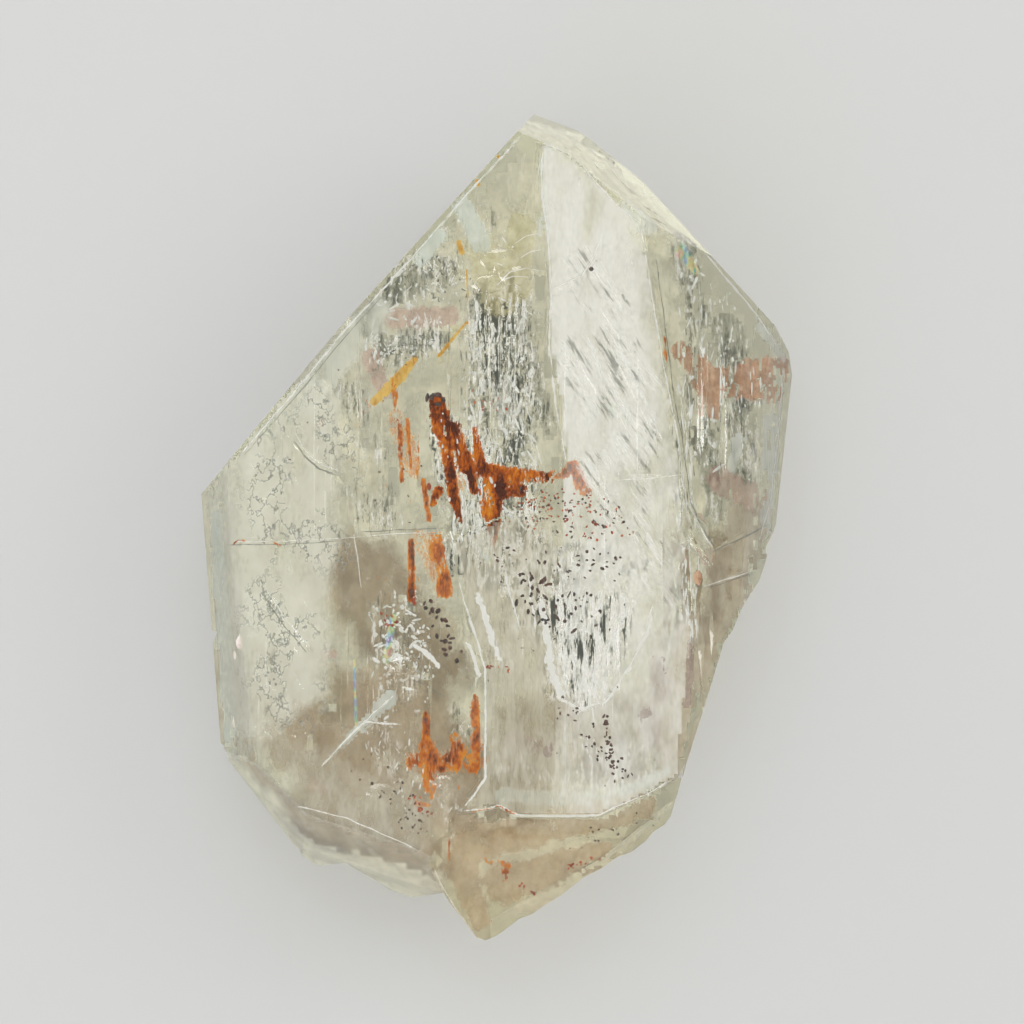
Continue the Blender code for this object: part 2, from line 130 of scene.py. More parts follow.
# Colours of the cloudy films, where they are thin and where they are thick
STAIN_COLOURS = {
    "body_haze": ((0.62, 0.59, 0.48), (0.88, 0.86, 0.74)),
    "slab_head": ((0.84, 0.84, 0.77), (0.98, 0.98, 0.94)),
    "slab_haze": ((0.84, 0.84, 0.77), (0.98, 0.98, 0.94)),
    "lower_slab_haze": ((0.46, 0.42, 0.31), (0.74, 0.71, 0.59)),
    "face_haze": ((0.70, 0.70, 0.58), (0.86, 0.86, 0.75)),
    "right_rim": ((0.44, 0.36, 0.26), (0.66, 0.58, 0.45)),
    "left_rim": ((0.62, 0.64, 0.55), (0.82, 0.84, 0.76)),
    "foot_haze": ((0.42, 0.40, 0.31), (0.66, 0.65, 0.55)),
    # Painted glints along edges and rims
    "painted_glint_panels": ((0.74, 0.79, 0.75), (0.93, 0.96, 0.94)),
    "blue_panels": ((0.66, 0.78, 0.74), (0.80, 0.88, 0.84)),
    "low_shade": ((0.20, 0.145, 0.09), (0.38, 0.31, 0.21)),
    "low_tint": ((0.36, 0.27, 0.17), (0.54, 0.45, 0.33)),
    "olive_field": ((0.46, 0.40, 0.17), (0.74, 0.70, 0.46)),
    "brown_zone": ((0.30, 0.24, 0.17), (0.50, 0.43, 0.33)),
    "foot_tan": ((0.46, 0.34, 0.20), (0.64, 0.53, 0.38)),
    "tan_patches": ((0.46, 0.22, 0.12), (0.70, 0.44, 0.29)),
    "pink_patches": ((0.42, 0.24, 0.20), (0.62, 0.44, 0.37)),
    "purple_patches": ((0.20, 0.13, 0.12), (0.42, 0.32, 0.29)),
    # Painted highlights along edges, steps and ripples, and light cracks and blades
    "painted_highlight_and_crack_line": ((0.90, 0.91, 0.86), (0.98, 0.98, 0.95)),
    # Painted shade along edges and steps, and dark cracks
    "painted_shade_and_crack_line": ((0.12, 0.13, 0.11), (0.30, 0.31, 0.27)),
}
# Colours of the grains, at their darkest and at their lightest
GRAIN_COLOURS = {
    # Flakes painted white as glints
    "painted_glint_flake": ((0.80, 0.82, 0.77), (0.97, 0.98, 0.95)),
    # Flakes painted dark as dark reflections among the glints
    "painted_dark_reflection_flake": ((0.05, 0.06, 0.05), (0.24, 0.25, 0.22)),
    "dark_speck": ((0.02, 0.02, 0.02), (0.12, 0.06, 0.04)),
    "red_speck": ((0.22, 0.03, 0.01), (0.62, 0.14, 0.04)),
    "iron_bead": ((0.55, 0.22, 0.08), (0.80, 0.52, 0.34)),
    "chip_scar": ((0.74, 0.55, 0.47), (0.95, 0.93, 0.88)),
}
# Ramps of colour, as (position, colour) stops. The two of iron run from thin to thick.
RUST_STOPS = (
    (0.1, (0.78, 0.34, 0.03)), (0.3, (0.72, 0.21, 0.006)), (0.5, (0.44, 0.09, 0.004)),
    (0.72, (0.09, 0.02, 0.005)),
)
AMBER_STOPS = ((0.25, (0.86, 0.58, 0.14)), (0.6, (0.66, 0.33, 0.03)), (0.9, (0.36, 0.13, 0.01)))
FIBRE_STOPS = (
    (0.0, (0.10, 0.11, 0.09)), (0.3, (0.36, 0.36, 0.30)), (0.55, (0.74, 0.74, 0.67)),
    (0.8, (0.98, 0.98, 0.95)),
)
# The grooves' ramp runs from painted shade on one side of a groove to a painted highlight on the other.
GROOVE_SHADE_TO_HIGHLIGHT_STOPS = ((0.5, (0.16, 0.17, 0.14)), (0.85, (0.93, 0.95, 0.90)))
RAINBOW_STOPS = (
    (0.30, (0.35, 0.20, 0.85)), (0.42, (0.20, 0.60, 0.95)), (0.50, (0.35, 0.90, 0.50)),
    (0.58, (0.95, 0.90, 0.30)), (0.68, (0.95, 0.35, 0.45)),
)

# Outlines seen from above. The slab's edges are those of the solid.
SLAB_EDGE = (
    (9.1, -12.6), (6.2, -14.1), (5.1, -14.6), (2.7, -14.6), (3.1, -2.0), (3.4, 3.4), (3.2, 6.4),
    (2.6, 9.0), (2.75, 11.5), (2.4, 15.1), (2.15, 18.2), (2.4, 19.2), (3.0, 19.3), (3.6, 19.0),
    (4.8, 17.6), (7.3, 15.2), (8.4, 8.5), (9.2, 3.5), (9.9, -5.0),
)
LOWER_SLAB_EDGE = (
    (5.0, -14.6), (1.0, -14.6), (0.1, -14.1), (-1.9, -14.4), (-0.7, -12.7), (-0.6, -7.2), (-1.4, -4.8),
    (-2.2, -0.8), (2.0, 1.2), (3.5, 3.3), (3.2, -2.0),
)
WHOLE_FRONT = (
    (-14.6, 1.2), (1.7, 20.2), (4.5, 19.6), (14.4, 8.6), (13.6, 0.5), (9.2, -10.5), (8.4, -14.2),
    (-0.6, -20.2), (-3.4, -17.2), (-12.2, -14.6), (-13.8, -11.5),
)


# Camera

def make_camera():
    data = bpy.data.cameras.new("camera")
    data.sensor_width = SENSOR
    data.lens = SENSOR * CAMERA_DISTANCE / PICTURE_WIDTH
    data.clip_start = 0.01
    data.clip_end = 10.0
    camera = bpy.data.objects.new("camera", data)
    x, y, z = PICTURE_MIDDLE
    camera.location = Vector((x, y, z + CAMERA_DISTANCE)) * MM
    bpy.context.scene.collection.objects.link(camera)
    bpy.context.scene.camera = camera


# Helpers

def clamp(value):
    return max(0.0, min(1.0, value))


def smooth_step(low, high, value):
    share = clamp((value - low) / (high - low))
    return share * share * (3.0 - 2.0 * share)


def between(table, value):
    """A value read off a table of (place, value) pairs, straight between them."""
    if value <= table[0][0]:
        return table[0][1]
    for (x0, y0), (x1, y1) in zip(table, table[1:]):
        if value <= x1:
            return y0 + (y1 - y0) * (value - x0) / (x1 - x0)
    return table[-1][1]


def inside(x, y, outline):
    """Whether (x, y) lies within a closed outline."""
    found = False
    for (x0, y0), (x1, y1) in zip(outline, outline[1:] + outline[:1]):
        if (y0 > y) != (y1 > y) and x < x0 + (y - y0) / (y1 - y0) * (x1 - x0):
            found = not found
    return found


def stroke_strength(x, y, strokes):
    """How strongly a point lies in a set of soft strokes, each two points and the radius at both."""
    best = 0.0
    for x0, y0, x1, y1, radius0, radius1 in strokes:
        run_x, run_y = x1 - x0, y1 - y0
        reach = STROKE_RIM * max(radius0, radius1)
        beside = min(x0, x1) - reach < x < max(x0, x1) + reach
        if not (beside and min(y0, y1) - reach < y < max(y0, y1) + reach):
            continue
        length2 = run_x * run_x + run_y * run_y
        along = clamp(((x - x0) * run_x + (y - y0) * run_y) / length2) if length2 else 0.0
        radius = radius0 + (radius1 - radius0) * along
        away = math.hypot(x - x0 - run_x * along, y - y0 - run_y * along) / radius
        best = max(best, 1.0 - smooth_step(STROKE_FULL, STROKE_RIM, away))
    return best


def add_mesh(name, bm, material):
    """An object made of a finished bmesh."""
    mesh = bpy.data.meshes.new(name)
    bm.to_mesh(mesh)
    bm.free()
    mesh.materials.append(material)
    obj = bpy.data.objects.new(name, mesh)
    bpy.context.scene.collection.objects.link(obj)
    return obj


def add_piece(name, bm, material):
    """A piece inside the stone. It casts no shadow of its own, and rides with the stone."""
    obj = add_mesh(name, bm, material)
    obj.visible_shadow = False
    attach(obj, "root")
    return obj


# Material helpers

def new_material(name, **settings):
    """A material with one Principled shader, whose plain values are set here by their sockets' names."""
    material = bpy.data.materials.new(name)
    material.use_nodes = True
    shader = material.node_tree.nodes["Principled BSDF"]
    for socket, value in settings.items():
        shader.inputs[socket.replace("_", " ")].default_value = value
    return material, shader


def add_node(tree, kind, inputs=None, **settings):
    """A node with its properties set, and its inputs given values or linked."""
    node = tree.nodes.new("ShaderNode" + kind)
    for name, value in settings.items():
        setattr(node, name, value)
    for socket, value in (inputs or {}).items():
        if isinstance(value, bpy.types.NodeSocket):
            tree.links.new(value, node.inputs[socket])
        else:
            node.inputs[socket].default_value = value
    return node


def maths(tree, operation, *values, limit=False):
    """The result of a Math node, kept between 0 and 1 where it has a limit."""
    node = add_node(tree, "Math", dict(enumerate(values)), operation=operation, use_clamp=limit)
    return node.outputs[0]


def ramp(tree, fac, *stops):
    """A colour read off a ramp of (position, colour) stops."""
    node = add_node(tree, "ValToRGB", {"Fac": fac})
    elements = node.color_ramp.elements
    while len(elements) < len(stops):
        elements.new(0.5)
    for element, (position, colour) in zip(elements, stops):
        element.position = position
        element.color = (*colour, 1.0)
    return node.outputs["Color"]


def new_group(name, inputs, outputs):
    """A node group with named sockets, which all carry plain numbers."""
    tree = bpy.data.node_groups.new(name, "ShaderNodeTree")
    for socket, value in inputs.items():
        item = tree.interface.new_socket(socket, in_out="INPUT", socket_type="NodeSocketFloat")
        item.default_value = value
    for socket in outputs:
        tree.interface.new_socket(socket, in_out="OUTPUT", socket_type="NodeSocketFloat")
    return tree, tree.nodes.new("NodeGroupInput").outputs, tree.nodes.new("NodeGroupOutput").inputs


def drawn_noise(tree, across, along, shift, detail, rough, turn=None):
    """Noise whose grains are drawn out along the crystal: across and along are grains in a millimetre."""
    place = add_node(tree, "TexCoord").outputs["Object"]
    if turn is not None:
        turned = add_node(tree, "VectorRotate", {"Vector": place, "Angle": turn}, rotation_type="Z_AXIS")
        place = turned.outputs[0]
    across = maths(tree, "DIVIDE", across, MM)
    along = maths(tree, "DIVIDE", along, MM)
    scale = add_node(tree, "CombineXYZ", {"X": across, "Y": along, "Z": across}).outputs[0]
    offset = add_node(tree, "CombineXYZ", {"X": shift, "Y": shift, "Z": shift}).outputs[0]
    mapping = add_node(tree, "Mapping", {"Vector": place, "Location": offset, "Scale": scale})
    grain = add_node(tree, "TexNoise", {"Vector": mapping.outputs[0], "Scale": 1.0, "Detail": detail,
                                        "Roughness": rough})
    return grain.outputs["Fac"]


def patchy_group():
    """A film's cover: full where its strength is high, and broken into grains and streaks at its rim."""
    inputs = {"Strength": 1.0, "Across": 3.0, "Along": 1.0, "Ragged": 1.5, "Threshold": 0.4,
              "Sharpness": 3.0, "Shift": 0.0}
    tree, given, out = new_group("patchy_cover", inputs, ("Cover", "Grain"))
    grain = drawn_noise(tree, given["Across"], given["Along"], given["Shift"], 3.0, 0.7)
    tilt = maths(tree, "MULTIPLY", maths(tree, "SUBTRACT", grain, 0.5), given["Ragged"])
    reach = maths(tree, "ADD", given["Strength"], tilt)
    above = maths(tree, "SUBTRACT", reach, given["Threshold"])
    tree.links.new(maths(tree, "MULTIPLY", above, given["Sharpness"], limit=True), out["Cover"])
    tree.links.new(grain, out["Grain"])
    return tree


def fibre_group():
    """Fine light and dark fibres. Tone runs from 0, dark, to 1, light, and Cover shows where they are."""
    inputs = {"Strength": 1.0, "Across": 6.0, "Along": 1.2, "Contrast": 14.0, "Gate": 0.5, "Light": 0.5,
              "Shift": 0.0, "Turn": 0.0}
    tree, given, out = new_group("fibres", inputs, ("Cover", "Tone"))
    grain = drawn_noise(tree, given["Across"], given["Along"], given["Shift"], 3.0, 0.78, given["Turn"])
    wave = maths(tree, "MULTIPLY", maths(tree, "SUBTRACT", grain, 0.5), given["Contrast"])
    there = maths(tree, "MULTIPLY", maths(tree, "ABSOLUTE", wave), given["Strength"])
    tree.links.new(maths(tree, "SUBTRACT", there, given["Gate"], limit=True), out["Cover"])
    tree.links.new(maths(tree, "ADD", wave, given["Light"], limit=True), out["Tone"])
    return tree


def place_group(tree, group, strength, values):
    """A group placed in a material, with its strength linked and its other inputs given values."""
    node = tree.nodes.new("ShaderNodeGroup")
    node.node_tree = group
    tree.links.new(strength, node.inputs["Strength"])
    for name, value in values.items():
        node.inputs[name].default_value = value
    return node.outputs


def attribute(tree, name):
    """A number kept with the mesh: how frosted, worn or tan the stone is, or how strong a film."""
    return add_node(tree, "Attribute", attribute_name=name).outputs["Fac"]


# Stage and light

def make_floor():
    material, _shader = new_material("floor_paper", Base_Color=FLOOR_COLOUR, Roughness=0.8)
    bm = bmesh.new()
    bmesh.ops.create_grid(bm, x_segments=1, y_segments=1, size=FLOOR_SIZE / 2 * MM)
    bmesh.ops.translate(bm, verts=bm.verts, vec=(0.0, 0.0, -FLOOR_DROP * MM))
    add_mesh("floor", bm, material)


def make_world():
    world = bpy.data.worlds.new("studio")
    bpy.context.scene.world = world
    world.use_nodes = True
    tree = world.node_tree
    way = add_node(tree, "TexCoord").outputs["Generated"]
    height = add_node(tree, "SeparateXYZ", {0: way}).outputs["Z"]
    colour = ramp(tree, height, (0.0, SKY_LOW), (0.9, SKY_HIGH))
    tree.links.new(colour, tree.nodes["Background"].inputs["Color"])
    tree.nodes["Background"].inputs["Strength"].default_value = SKY_STRENGTH


def soft_box(name, azimuth, elevation, distance, size, power):
    """A round soft lamp aimed at the crystal, and not seen through its glass."""
    data = bpy.data.lights.new(name, "AREA")
    data.shape = "DISK"
    data.size = size * MM
    data.energy = power
    lamp = bpy.data.objects.new(name, data)
    a, e = math.radians(azimuth), math.radians(elevation)
    way = Vector((math.sin(a) * math.cos(e), -math.cos(a) * math.cos(e), math.sin(e)))
    lamp.location = way * distance * MM
    lamp.rotation_euler = way.to_track_quat("Z", "Y").to_euler()
    lamp.visible_transmission = False
    bpy.context.scene.collection.objects.link(lamp)


# The stone

def pale_topaz():
    """Clear stone, frosted or worn in places, with a window for the lamps' own rays."""
    material, shader = new_material("pale_topaz", IOR=REFRACTION, Transmission_Weight=1.0)
    tree = material.node_tree
    rough = maths(tree, "MULTIPLY_ADD", attribute(tree, "frost"), FROST_ROUGHNESS, CLEAR_ROUGHNESS)
    rough = maths(tree, "MULTIPLY_ADD", attribute(tree, "worn"), WORN_ROUGHNESS, rough, limit=True)
    tree.links.new(rough, shader.inputs["Roughness"])
    # A Mix node's inputs 6 and 7 and its output 2 are those for colours
    mixed = add_node(tree, "Mix", {"Factor": attribute(tree, "tan"), 6: STONE_COLOUR, 7: TAN_COLOUR},
                     data_type="RGBA")
    tree.links.new(mixed.outputs[2], shader.inputs["Base Color"])
    # Growth lines along the crystal, over a slow waviness
    fine = drawn_noise(tree, 8.0, 0.4, 0.0, 2.0, 0.6)
    cloud = drawn_noise(tree, 0.9, 0.5, 2.0, 2.0, 0.6)
    height = maths(tree, "MULTIPLY_ADD", cloud, 1.6, fine)
    bump = add_node(tree, "Bump", {"Height": height, "Strength": BUMP_STRENGTH,
                                   "Distance": BUMP_DEPTH * MM})
    tree.links.new(bump.outputs[0], shader.inputs["Normal"])
    absorb = add_node(tree, "VolumeAbsorption", {"Color": ABSORPTION_COLOUR,
                                                 "Density": ABSORPTION_DENSITY})
    output = tree.nodes["Material Output"]
    tree.links.new(absorb.outputs["Volume"], output.inputs["Volume"])
    # Lamps light what is inside the stone and under it
    lamp_ray = add_node(tree, "LightPath").outputs["Is Shadow Ray"]
    window = add_node(tree, "BsdfTransparent", {"Color": SHADOW_TINT})
    through = add_node(tree, "MixShader", {0: lamp_ray, 1: shader.outputs["BSDF"],
                                           2: window.outputs["BSDF"]})
    tree.links.new(through.outputs["Shader"], output.inputs["Surface"])
    return material


def worn_edges(bm):
    """Take the keenness off the stone's outer edges, and return the narrow faces this leaves."""
    least = math.radians(EDGE_ANGLE)
    keen = [edge for edge in bm.edges if edge.is_manifold and edge.calc_face_angle_signed() > least]
    cut = bmesh.ops.bevel(bm, geom=keen, offset=EDGE_WIDTH * MM, segments=1, profile=0.5, affect="EDGES",
                          clamp_overlap=True, material=-1)
    return [face for face in cut["faces"] if face.is_valid]


def cut_front(bm, point, normal):
    """Split the front's faces along a plane."""
    faces = [face for face in bm.faces if face.normal.z > FRONT_SLOPE]
    edges = dict.fromkeys(edge for face in faces for edge in face.edges)
    verts = dict.fromkeys(vert for face in faces for vert in face.verts)
    bmesh.ops.bisect_plane(bm, geom=[*faces, *edges, *verts], dist=1e-8, plane_co=point, plane_no=normal)


def surface_noise(x, y, grain, layer):
    """Noise over the front, whose grains are given per millimetre across and along."""
    return noise.noise(Vector((x * grain[0], y * grain[1], layer)))


def striate(bm):
    """Cut the front faces into fine strips along the crystal, and lower each a little."""
    rng = random.Random(SEED)
    low, high = cad_box
    for number in range(STRIATION_CUTS):
        x = low.x + (number + rng.random()) / STRIATION_CUTS * (high.x - low.x)
        cut_front(bm, Vector((x, 0.0, 0.0)), Vector((1.0, 0.0, 0.0)))
    for number in range(CROSS_CUTS):
        y = low.y + (number + rng.random()) / CROSS_CUTS * (high.y - low.y)
        cut_front(bm, Vector((0.0, y, 0.0)), Vector((0.0, 1.0, 0.0)))
    bm.normal_update()
    for vert in bm.verts:
        if any(face.normal.z > FRONT_SLOPE for face in vert.link_faces):
            x, y = vert.co.x / MM, vert.co.y / MM
            band = surface_noise(x, y, LINE_GRAIN, 0.0) + 0.5 * surface_noise(x, y, HAIR_GRAIN, 5.0)
            swell = surface_noise(x, y, SWELL_GRAIN, 9.0)
            calm = 0.2 + 0.8 * smooth_step(*CALM_RIM, x)
            vert.co.z -= RELIEF * MM * calm * (clamp(0.5 + 0.6 * band) + 0.8 * clamp(0.5 + swell))


def make_stone():
    bm = bmesh.new()
    bm.from_mesh(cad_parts["topaz_crystal"].data)
    bmesh.ops.remove_doubles(bm, verts=bm.verts, dist=1e-7)
    bmesh.ops.dissolve_limit(bm, angle_limit=math.radians(FLAT_ANGLE), verts=bm.verts, edges=bm.edges)
    worn = bm.faces.layers.float.new("worn")
    for face in worn_edges(bm):
        face[worn] = 1.0
    striate(bm)
    bm.normal_update()
    frost = bm.faces.layers.float.new("frost")
    tan = bm.verts.layers.float.new("tan")
    for face in bm.faces:
        face.smooth = face.normal.z > FRONT_SLOPE
        middle = face.calc_center_median() / MM
        start = LOBE_END if middle.x < LOBE_RIM else FOOT_END
        low_end = smooth_step(start, start - 1.2, middle.y)
        face[frost] = max(1.0 - smooth_step(-0.1, 0.3, face.normal.z), 0.55 * low_end)
    for vert in bm.verts:
        x, y = vert.co.x / MM, vert.co.y / MM
        vert[tan] = smooth_step(-14.3, -15.5, y) * smooth_step(-4.5, -3.0, x)
    stone = add_mesh("topaz_stone", bm, pale_topaz())
    stone.data.set_sharp_from_angle(angle=math.radians(CREASE_ANGLE))
    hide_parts("topaz_crystal")
    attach(stone, "root")
    return stone


# Placing what is inside

def front_of(x, y):
    """The stone's front surface over (x, y), or None."""
    hit = PROBE.ray_cast(Vector((x, y, 40.0)) * MM, Vector((0.0, 0.0, -1.0)))[0]
    return hit.z / MM if hit else None


def back_of(x, y):
    """The stone's back surface under (x, y), or None."""
    hit = PROBE.ray_cast(Vector((x, y, -10.0)) * MM, Vector((0.0, 0.0, 1.0)))[0]
    return hit.z / MM if hit else None


def sunk(x, y, depth, clear=LEAST_CLEAR):
    """The point at a depth below the front that is seen at (x, y) from above, or None past the stone."""
    front = front_of(x, y)
    if front is None:
        return None
    true_x = x + between(SIGHT_LEAN, x) * depth
    back = back_of(true_x, y)
    if back is None or front - depth < back + clear:
        return None
    return Vector((true_x, y, front - depth))


def film(name, strokes, depth, material, step=0.2, cut=0.12, crumple=0.3, ragged=0.3, clump=0.0,
         within=None, seed=0):
    """A thin crumpled film inside the stone, lying where the strokes are strong."""
    low_x = min(min(s[0] - s[4], s[2] - s[5]) for s in strokes) - 0.4
    high_x = max(max(s[0] + s[4], s[2] + s[5]) for s in strokes) + 0.4
    low_y = min(min(s[1] - s[4], s[3] - s[5]) for s in strokes) - 0.4
    high_y = max(max(s[1] + s[4], s[3] + s[5]) for s in strokes) + 0.4
    across = int((high_x - low_x) / step) + 1
    along = int((high_y - low_y) / step) + 1
    bm = bmesh.new()
    bmesh.ops.create_grid(bm, x_segments=across, y_segments=along, size=0.5)
    layer = bm.verts.layers.float.new("strength")
    outside = []
    for vert in bm.verts:
        x = low_x + (vert.co.x + 0.5) * (high_x - low_x)
        y = low_y + (vert.co.y + 0.5) * (high_y - low_y)
        wobble = noise.noise(Vector((x * 1.6, y * 0.8, seed * 7.3)))
        strength = stroke_strength(x, y, strokes) * (1.0 + ragged * wobble) + 0.3 * ragged * wobble
        vert[layer] = strength * (1.0 + clump * noise.noise(Vector((x * 0.9, y * 0.55, seed * 5.1))))
        fold = crumple * noise.fractal(Vector((x * 0.9, y * 0.5, seed * 3.1)), 0.6, 2.1, 4)
        place = None
        if strength > cut and (within is None or inside(x, y, within)):
            place = sunk(x, y, max(LEAST_COVER, depth + fold))
        if place is None:
            outside.append(vert)
        else:
            vert.co = place * MM
    return finish_sheet(name, bm, outside, material, 6)


def finish_sheet(name, bm, outside, material, least):
    """Make a piece of a film, without what lies outside, crosses a step or is a scrap of a few faces."""
    bmesh.ops.delete(bm, geom=outside, context="VERTS")
    bm.normal_update()
    steep = [face for face in bm.faces if abs(face.normal.z) < STEEPEST]
    bmesh.ops.delete(bm, geom=steep, context="FACES")
    bm.faces.index_update()
    seen = set()
    scraps = []
    for face in bm.faces:
        if face.index in seen:
            continue
        island, queue = [face], [face]
        seen.add(face.index)
        while queue:
            for edge in queue.pop().edges:
                for other in edge.link_faces:
                    if other.index not in seen:
                        seen.add(other.index)
                        island.append(other)
                        queue.append(other)
        if len(island) < least:
            scraps.extend(island)
    bmesh.ops.delete(bm, geom=scraps, context="FACES")
    bmesh.ops.delete(bm, geom=[vert for vert in bm.verts if not vert.link_faces], context="VERTS")
    obj = add_piece(name, bm, material)
    obj.data.shade_smooth()
    return obj


def run_lengths(path):
    """The length of each straight run of a path."""
    return [math.hypot(b[0] - a[0], b[1] - a[1]) for a, b in zip(path, path[1:])]


def on_path(path, share):
    """The point at a share of a path's length, and the direction across it."""
    runs = run_lengths(path)
    left = share * sum(runs)
    for (x0, y0), (x1, y1), run in zip(path, path[1:], runs):
        if left <= run or (x1, y1) == path[-1]:
            part = min(1.0, left / run)
            return x0 + (x1 - x0) * part, y0 + (y1 - y0) * part, (y0 - y1) / run, (x1 - x0) / run
        left -= run


def ribbons(name, paths, material, depth=0.07, clear=0.1, wander=0.04, seed=0):
    """Narrow strips along paths, each (width, points), strongest in the middle and fading at both ends."""
    bm = bmesh.new()
    layer = bm.verts.layers.float.new("strength")
    outside = []
    for number, (width, path) in enumerate(paths):
        length = sum(run_lengths(path))
        pieces = max(4, int(length / 0.16))
        strip = bmesh.ops.create_grid(bm, x_segments=pieces, y_segments=2, size=0.5)["verts"]
        for vert in strip:
            share, side = vert.co.x + 0.5, 2.0 * vert.co.y
            x, y, across_x, across_y = on_path(path, share)
            along = Vector((share * length * 1.3, number * 5.7, seed * 3.3))
            drift = wander * noise.noise(along)
            drift += 0.6 * side * width * (0.7 + 0.6 * noise.noise(along * 2.0))
            fade = min(1.0, 8.0 * share, 8.0 * (1.0 - share))
            vert[layer] = (1.3 - abs(side)) * (0.35 + 0.65 * fade)
            place = sunk(x + across_x * drift, y + across_y * drift, depth, clear)
            if place is None:
                outside.append(vert)
            else:
                vert.co = place * MM
    return finish_sheet(name, bm, outside, material, 4)


def grains(name, patches, material, depth=(0.3, 2.2), flat=0.25, swell=1.0, seed=0):
    """Small flattened grains and slivers inside the stone, each patch strewn about a line. The lengths
    lean towards the least one, and the angle is measured from the crystal's length."""
    rng = random.Random(SEED + seed)
    whole = bmesh.new()
    for x0, y0, x1, y1, radius, count, short, long, width, angle, spread in patches:
        bm = bmesh.new()
        for _ in range(count):
            share, way, out = rng.random(), rng.uniform(0.0, math.tau), radius * math.sqrt(rng.random())
            x = x0 + (x1 - x0) * share + out * math.cos(way)
            y = y0 + (y1 - y0) * share + out * math.sin(way)
            length = short + (long - short) * rng.random() ** 2
            wide = width * swell * rng.uniform(0.6, 1.5)
            length *= swell
            turn = math.radians(rng.gauss(angle, spread))
            tip, roll = rng.uniform(-0.25, 0.25), rng.uniform(-0.7, 0.7)
            place = sunk(x, y, rng.uniform(*depth))
            if place is None:
                continue
            pose = Matrix.Rotation(turn, 4, "Z") @ Matrix.Rotation(tip, 4, "X")
            pose = Matrix.Translation(place * MM) @ (pose @ Matrix.Rotation(roll, 4, "Y"))
            size = Matrix.Diagonal((wide / 2, length / 2, wide / 2 * flat, 1.0))
            bmesh.ops.create_icosphere(bm, subdivisions=1, radius=MM, matrix=pose @ size)
        patch = bpy.data.meshes.new(name + "_patch")
        bm.to_mesh(patch)
        bm.free()
        whole.from_mesh(patch)
        bpy.data.meshes.remove(patch)
    return add_piece(name, whole, material)


# Finishes of what is inside

def film_material(name):
    """A matt material for a film, with its node tree and how strong the film is from place to place."""
    material, shader = new_material(name, Roughness=0.6, Specular_IOR_Level=0.0)
    tree = material.node_tree
    return material, shader, tree, attribute(tree, "strength")


def rust(name, share=1.0, thick=0.0, ragged=2.2, threshold=0.4, stops=RUST_STOPS):
    """An iron film: orange where it is thin, and red to brown where it is thick."""
    material, shader, tree, strength = film_material(name)
    cover = place_group(tree, PATCHY, strength, {"Across": 8.0, "Along": 2.4, "Ragged": ragged,
                                                 "Threshold": threshold, "Sharpness": 5.0})
    cloud = drawn_noise(tree, 1.3, 0.9, 6.0, 2.0, 0.6)
    cloud = maths(tree, "MULTIPLY_ADD", cloud, 1.2, thick - 1.05)
    blotch = maths(tree, "MULTIPLY_ADD", cover["Grain"], 1.1, cloud)
    depth = maths(tree, "MULTIPLY_ADD", strength, 0.35, blotch)
    tree.links.new(ramp(tree, depth, *stops), shader.inputs["Base Color"])
    tree.links.new(maths(tree, "MULTIPLY", cover["Cover"], share), shader.inputs["Alpha"])
    return material


def stain(name, share, across=1.6, along=1.1, sharpness=2.4, shift=0.0):
    """A soft cloudy film between two colours."""
    thin, thick = STAIN_COLOURS[name]
    material, shader, tree, strength = film_material(name)
    cover = place_group(tree, PATCHY, strength, {"Across": across, "Along": along, "Ragged": 1.8,
                                                 "Threshold": 0.33, "Sharpness": sharpness,
                                                 "Shift": shift})
    tree.links.new(ramp(tree, cover["Grain"], (0.35, thin), (0.65, thick)), shader.inputs["Base Color"])
    tree.links.new(maths(tree, "MULTIPLY", cover["Cover"], share), shader.inputs["Alpha"])
    return material


def veil(name, share, across, along, contrast=14.0, gate=0.5, light=0.5, shift=0.0, turn=0.0):
    """A fractured veil of fine light and dark fibres, turned from the crystal's length by some degrees."""
    material, shader, tree, strength = film_material(name)
    fibre = place_group(tree, FIBRES, strength, {"Across": across, "Along": along, "Contrast": contrast,
                                                 "Gate": gate, "Light": light, "Shift": shift,
                                                 "Turn": math.radians(-turn)})
    tree.links.new(ramp(tree, fibre["Tone"], *FIBRE_STOPS), shader.inputs["Base Color"])
    tree.links.new(maths(tree, "MULTIPLY", fibre["Cover"], share), shader.inputs["Alpha"])
    return material


def etching():
    """Worm-like etch grooves on the left face, each with a dark side of painted shade and a light side of
    painted highlight.
    """
    material, shader, tree, strength = film_material("etched_lines_painted_shading")
    worms = drawn_noise(tree, 1.5, 1.1, 3.0, 3.0, 0.6)
    gate = drawn_noise(tree, 0.5, 0.35, 9.0, 2.0, 0.5)
    side = maths(tree, "DIVIDE", maths(tree, "SUBTRACT", worms, 0.5), 0.035)
    line = maths(tree, "SUBTRACT", 1.0, maths(tree, "ABSOLUTE", side), limit=True)
    broken = maths(tree, "MULTIPLY", maths(tree, "SUBTRACT", gate, 0.46), 14.0, limit=True)
    cover = maths(tree, "MULTIPLY", maths(tree, "MULTIPLY", line, broken), strength)
    # Painted shade on one side of each groove, and a painted highlight on the other
    tone = maths(tree, "MULTIPLY_ADD", side, 0.5, 0.5, limit=True)
    tree.links.new(ramp(tree, tone, *GROOVE_SHADE_TO_HIGHLIGHT_STOPS), shader.inputs["Base Color"])
    tree.links.new(maths(tree, "MULTIPLY", cover, 0.9, limit=True), shader.inputs["Alpha"])
    return material


